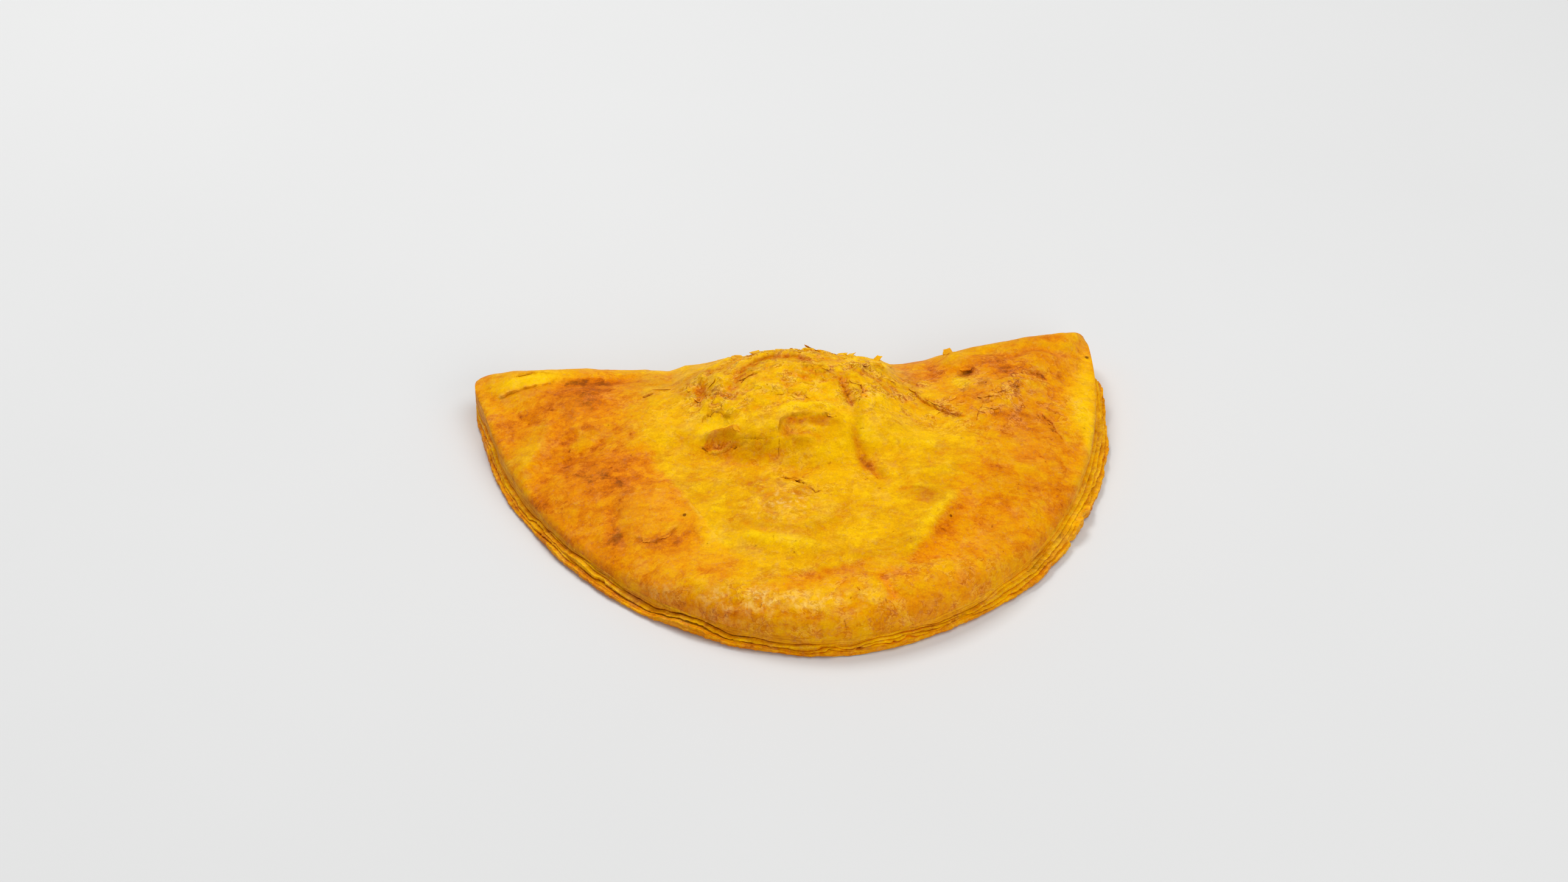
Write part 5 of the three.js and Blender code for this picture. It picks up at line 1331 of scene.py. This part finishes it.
def flake_arrays(rows, seed):
    """Thin closed flakes: sunk into the crust on one side, lifted on the other."""
    rng = np.random.default_rng(seed)
    n, shares = 20, (1.0, 0.74, 0.46, 0.2)
    a = np.linspace(0, 2 * math.pi, n + 1)[:-1]
    m = len(shares) * n + 1
    plans = []
    for cx, cy, half_u, half_v, way, _, _ in rows:
        corners = int(rng.integers(6, 10))
        ca = np.sort((np.arange(corners) + rng.uniform(-.35, .35, corners)) * 2 * math.pi / corners)
        cr = rng.uniform(0.55, 1.25, corners)
        ring = np.arange(corners + 1) % corners
        ends = np.append(ca, ca[0] + 2 * math.pi)
        turn = (a - ca[0]) % (2 * math.pi) + ca[0]
        seg = np.clip(np.searchsorted(ends, turn, "right") - 1, 0, corners - 1)
        span = ends[seg + 1] - ends[seg]
        r1, r2, part = cr[ring[seg]], cr[ring[seg + 1]], turn - ends[seg]
        r = r1 * r2 * np.sin(span) / (r1 * np.sin(part) + r2 * np.sin(span - part))      # straight between corners
        r = r + rng.uniform(-.07, .07, n)
        u = np.concatenate([r * sh * np.cos(a) for sh in shares] + [[0.0]])
        v = np.concatenate([r * sh * np.sin(a) for sh in shares] + [[0.0]])
        c, sn = math.cos(math.radians(way)), math.sin(math.radians(way))
        plans.append((u, v, cx + u * half_u * c - v * half_v * sn, cy + u * half_u * sn + v * half_v * c))
    every_z, every_f = top_fields(np.concatenate([q[2] for q in plans]), np.concatenate([q[3] for q in plans]))
    # one flake's triangles: its upper and lower face in rings, and the wall between them
    ids = [np.arange(k * n, (k + 1) * n) for k in range(len(shares))]
    nx = (np.arange(n) + 1) % n
    cap = []
    for o, i in zip(ids[:-1], ids[1:]):
        cap += [np.stack([o, o[nx], i[nx]], 1), np.stack([o, i[nx], i], 1)]
    cap = np.concatenate(cap + [np.stack([ids[-1], ids[-1][nx], np.full(n, m - 1)], 1)])
    o = ids[0]
    tris = np.concatenate([cap, cap[:, ::-1] + m, np.stack([o + m, o[nx] + m, o[nx]], 1), np.stack([o + m, o[nx], o], 1)])
    all_v, all_t, all_f, all_uv = [], [], {}, []
    side = math.ceil(math.sqrt(2 * len(rows)))
    disc = np.stack([np.concatenate([sh * fn(a) for sh in shares] + [[0.0]]) for fn in (np.cos, np.sin)], 1) * 0.40
    wall = np.concatenate([disc, disc * 1.14])
    n_cap = len(cap)
    for k, ((cx, cy, _, _, _, lift, paler), (u, v, x, y)) in enumerate(zip(rows, plans)):
        z0 = every_z[k * m:(k + 1) * m]
        f = {name: val[k * m:(k + 1) * m].copy() for name, val in every_f.items()}
        fit = np.column_stack([np.ones_like(x), x - cx, y - cy])
        plane = fit @ np.linalg.lstsq(fit, z0, rcond=None)[0]
        free = sstep(-0.85, 1.0, u)
        lift = lift * (0.65 if y.max() < 34 else 1.0)
        up = -0.16 + (lift + 0.16) * free ** 1.2 + 0.22 * lift * free * (v * v - 0.3) * rng.uniform(-1, 1) + 0.10 * lift * free * fbm(x / 0.8, y / 0.8, 2, seed)
        top = mix(z0, plane, 0.7) + up
        low = top - mix(0.30, 0.10, free)
        all_v += [np.column_stack([x, y, top]), np.column_stack([x, y, low])]
        all_t.append(tris + 2 * m * k)
        cell_a, cell_b = (np.array([(2 * k + j) % side, (2 * k + j) // side]) + 0.5 for j in (0, 1))
        all_uv.append(np.concatenate([disc[cap] + cell_a, disc[cap[:, ::-1]] * (-1, 1) + cell_b, wall[tris[2 * n_cap:]] + cell_a]) / side)
        # the free rim painted lighter and paler: a painted highlight
        rim = np.concatenate([np.full(n, 1.0), np.full(n, 0.3), np.zeros(m - 2 * n)]) * free
        light = max(paler, 0.0)
        f["brown"] = mix(f["brown"], float(np.mean(f["brown"])), 0.6) + 0.06 * fbm(x / 0.9, y / 0.9, 2, seed + 3) - (0.05 if paler > 0 else 0.30) * paler - 0.06 * rim
        f["pale"] = np.clip(0.25 * f["pale"] + light * (0.12 + 0.40 * rim), 0, 1)
        f["dark"] = 0.15 * f["dark"]
        for name, val in f.items():
            # the underside painted browner: painted shade
            under = val + 0.12 if name == "brown" else val
            all_f.setdefault(name, []).extend([val, under])
    return np.concatenate(all_v), np.concatenate(all_t), {k: np.concatenate(q) for k, q in all_f.items()}, np.concatenate(all_uv)


flake_v, flake_t, flake_f, flake_uv = flake_arrays(FLAKES + strewn_flakes(56, 21), 800)
flakes = make_mesh("crust_flakes", flake_v, flake_t, flake_f, crust, flake_uv)
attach(flakes, "root")

# ---------------------------------------------------------------- stage, light, camera
scene = bpy.context.scene
floor_mesh = bpy.data.meshes.new("floor")
floor_mesh.from_pydata([(-6, -6, 0), (6, -6, 0), (6, 6, 0), (-6, 6, 0)], [], [(0, 1, 2, 3)])
floor_mesh.materials.append(floor_material())
floor = bpy.data.objects.new("floor", floor_mesh)
floor.location.z = -0.0002
scene.collection.objects.link(floor)

world = bpy.data.worlds.new("studio")
world.use_nodes = True
world.node_tree.nodes["Background"].inputs[0].default_value = (0.97, 0.98, 1.0, 1.0)
world.node_tree.nodes["Background"].inputs[1].default_value = 0.38
scene.world = world


def softbox(name, at, look, size, power, colour=(1, 1, 1)):
    data = bpy.data.lights.new(name, "AREA")
    data.shape, data.size, data.size_y = "RECTANGLE", size[0], size[1]
    data.energy, data.color = power, colour
    o = bpy.data.objects.new(name, data)
    o.location = at
    o.rotation_euler = (Vector(look) - Vector(at)).to_track_quat("-Z", "Y").to_euler()
    scene.collection.objects.link(o)
    return o


softbox("key", (-0.30, 0.55, 0.95), (0, 0, 0), (0.5, 0.4), 6.3)
softbox("overhead", (0.50, -0.15, 1.2), (0, 0, 0), (1.0, 0.8), 5.2)
softbox("front_fill", (0.55, -1.1, 0.62), (0, 0, 0), (1.3, 0.6), 5.2)

cam_data = bpy.data.cameras.new("camera")
cam_data.lens, cam_data.sensor_width = 50.0, 36.0
cam = bpy.data.objects.new("camera", cam_data)
target = Vector((-0.00452 - X_ORIGIN / 1000, 0.026 - Y_ORIGIN / 1000, 0.0))
az, el = math.radians(-6.5), math.radians(40.0)
back = Vector((math.sin(az) * math.cos(el), -math.cos(az) * math.cos(el), math.sin(el)))
cam.location = target + back * 0.531
cam.rotation_mode = "QUATERNION"
cam.rotation_quaternion = (-back).to_track_quat("-Z", "Y")
cam_data.clip_start, cam_data.clip_end = 0.01, 50.0
scene.collection.objects.link(cam)
scene.camera = cam

scene.view_settings.view_transform = "Standard"
scene.view_settings.look = "None"
scene.view_settings.exposure = 0.0
scene.view_settings.gamma = 1.0
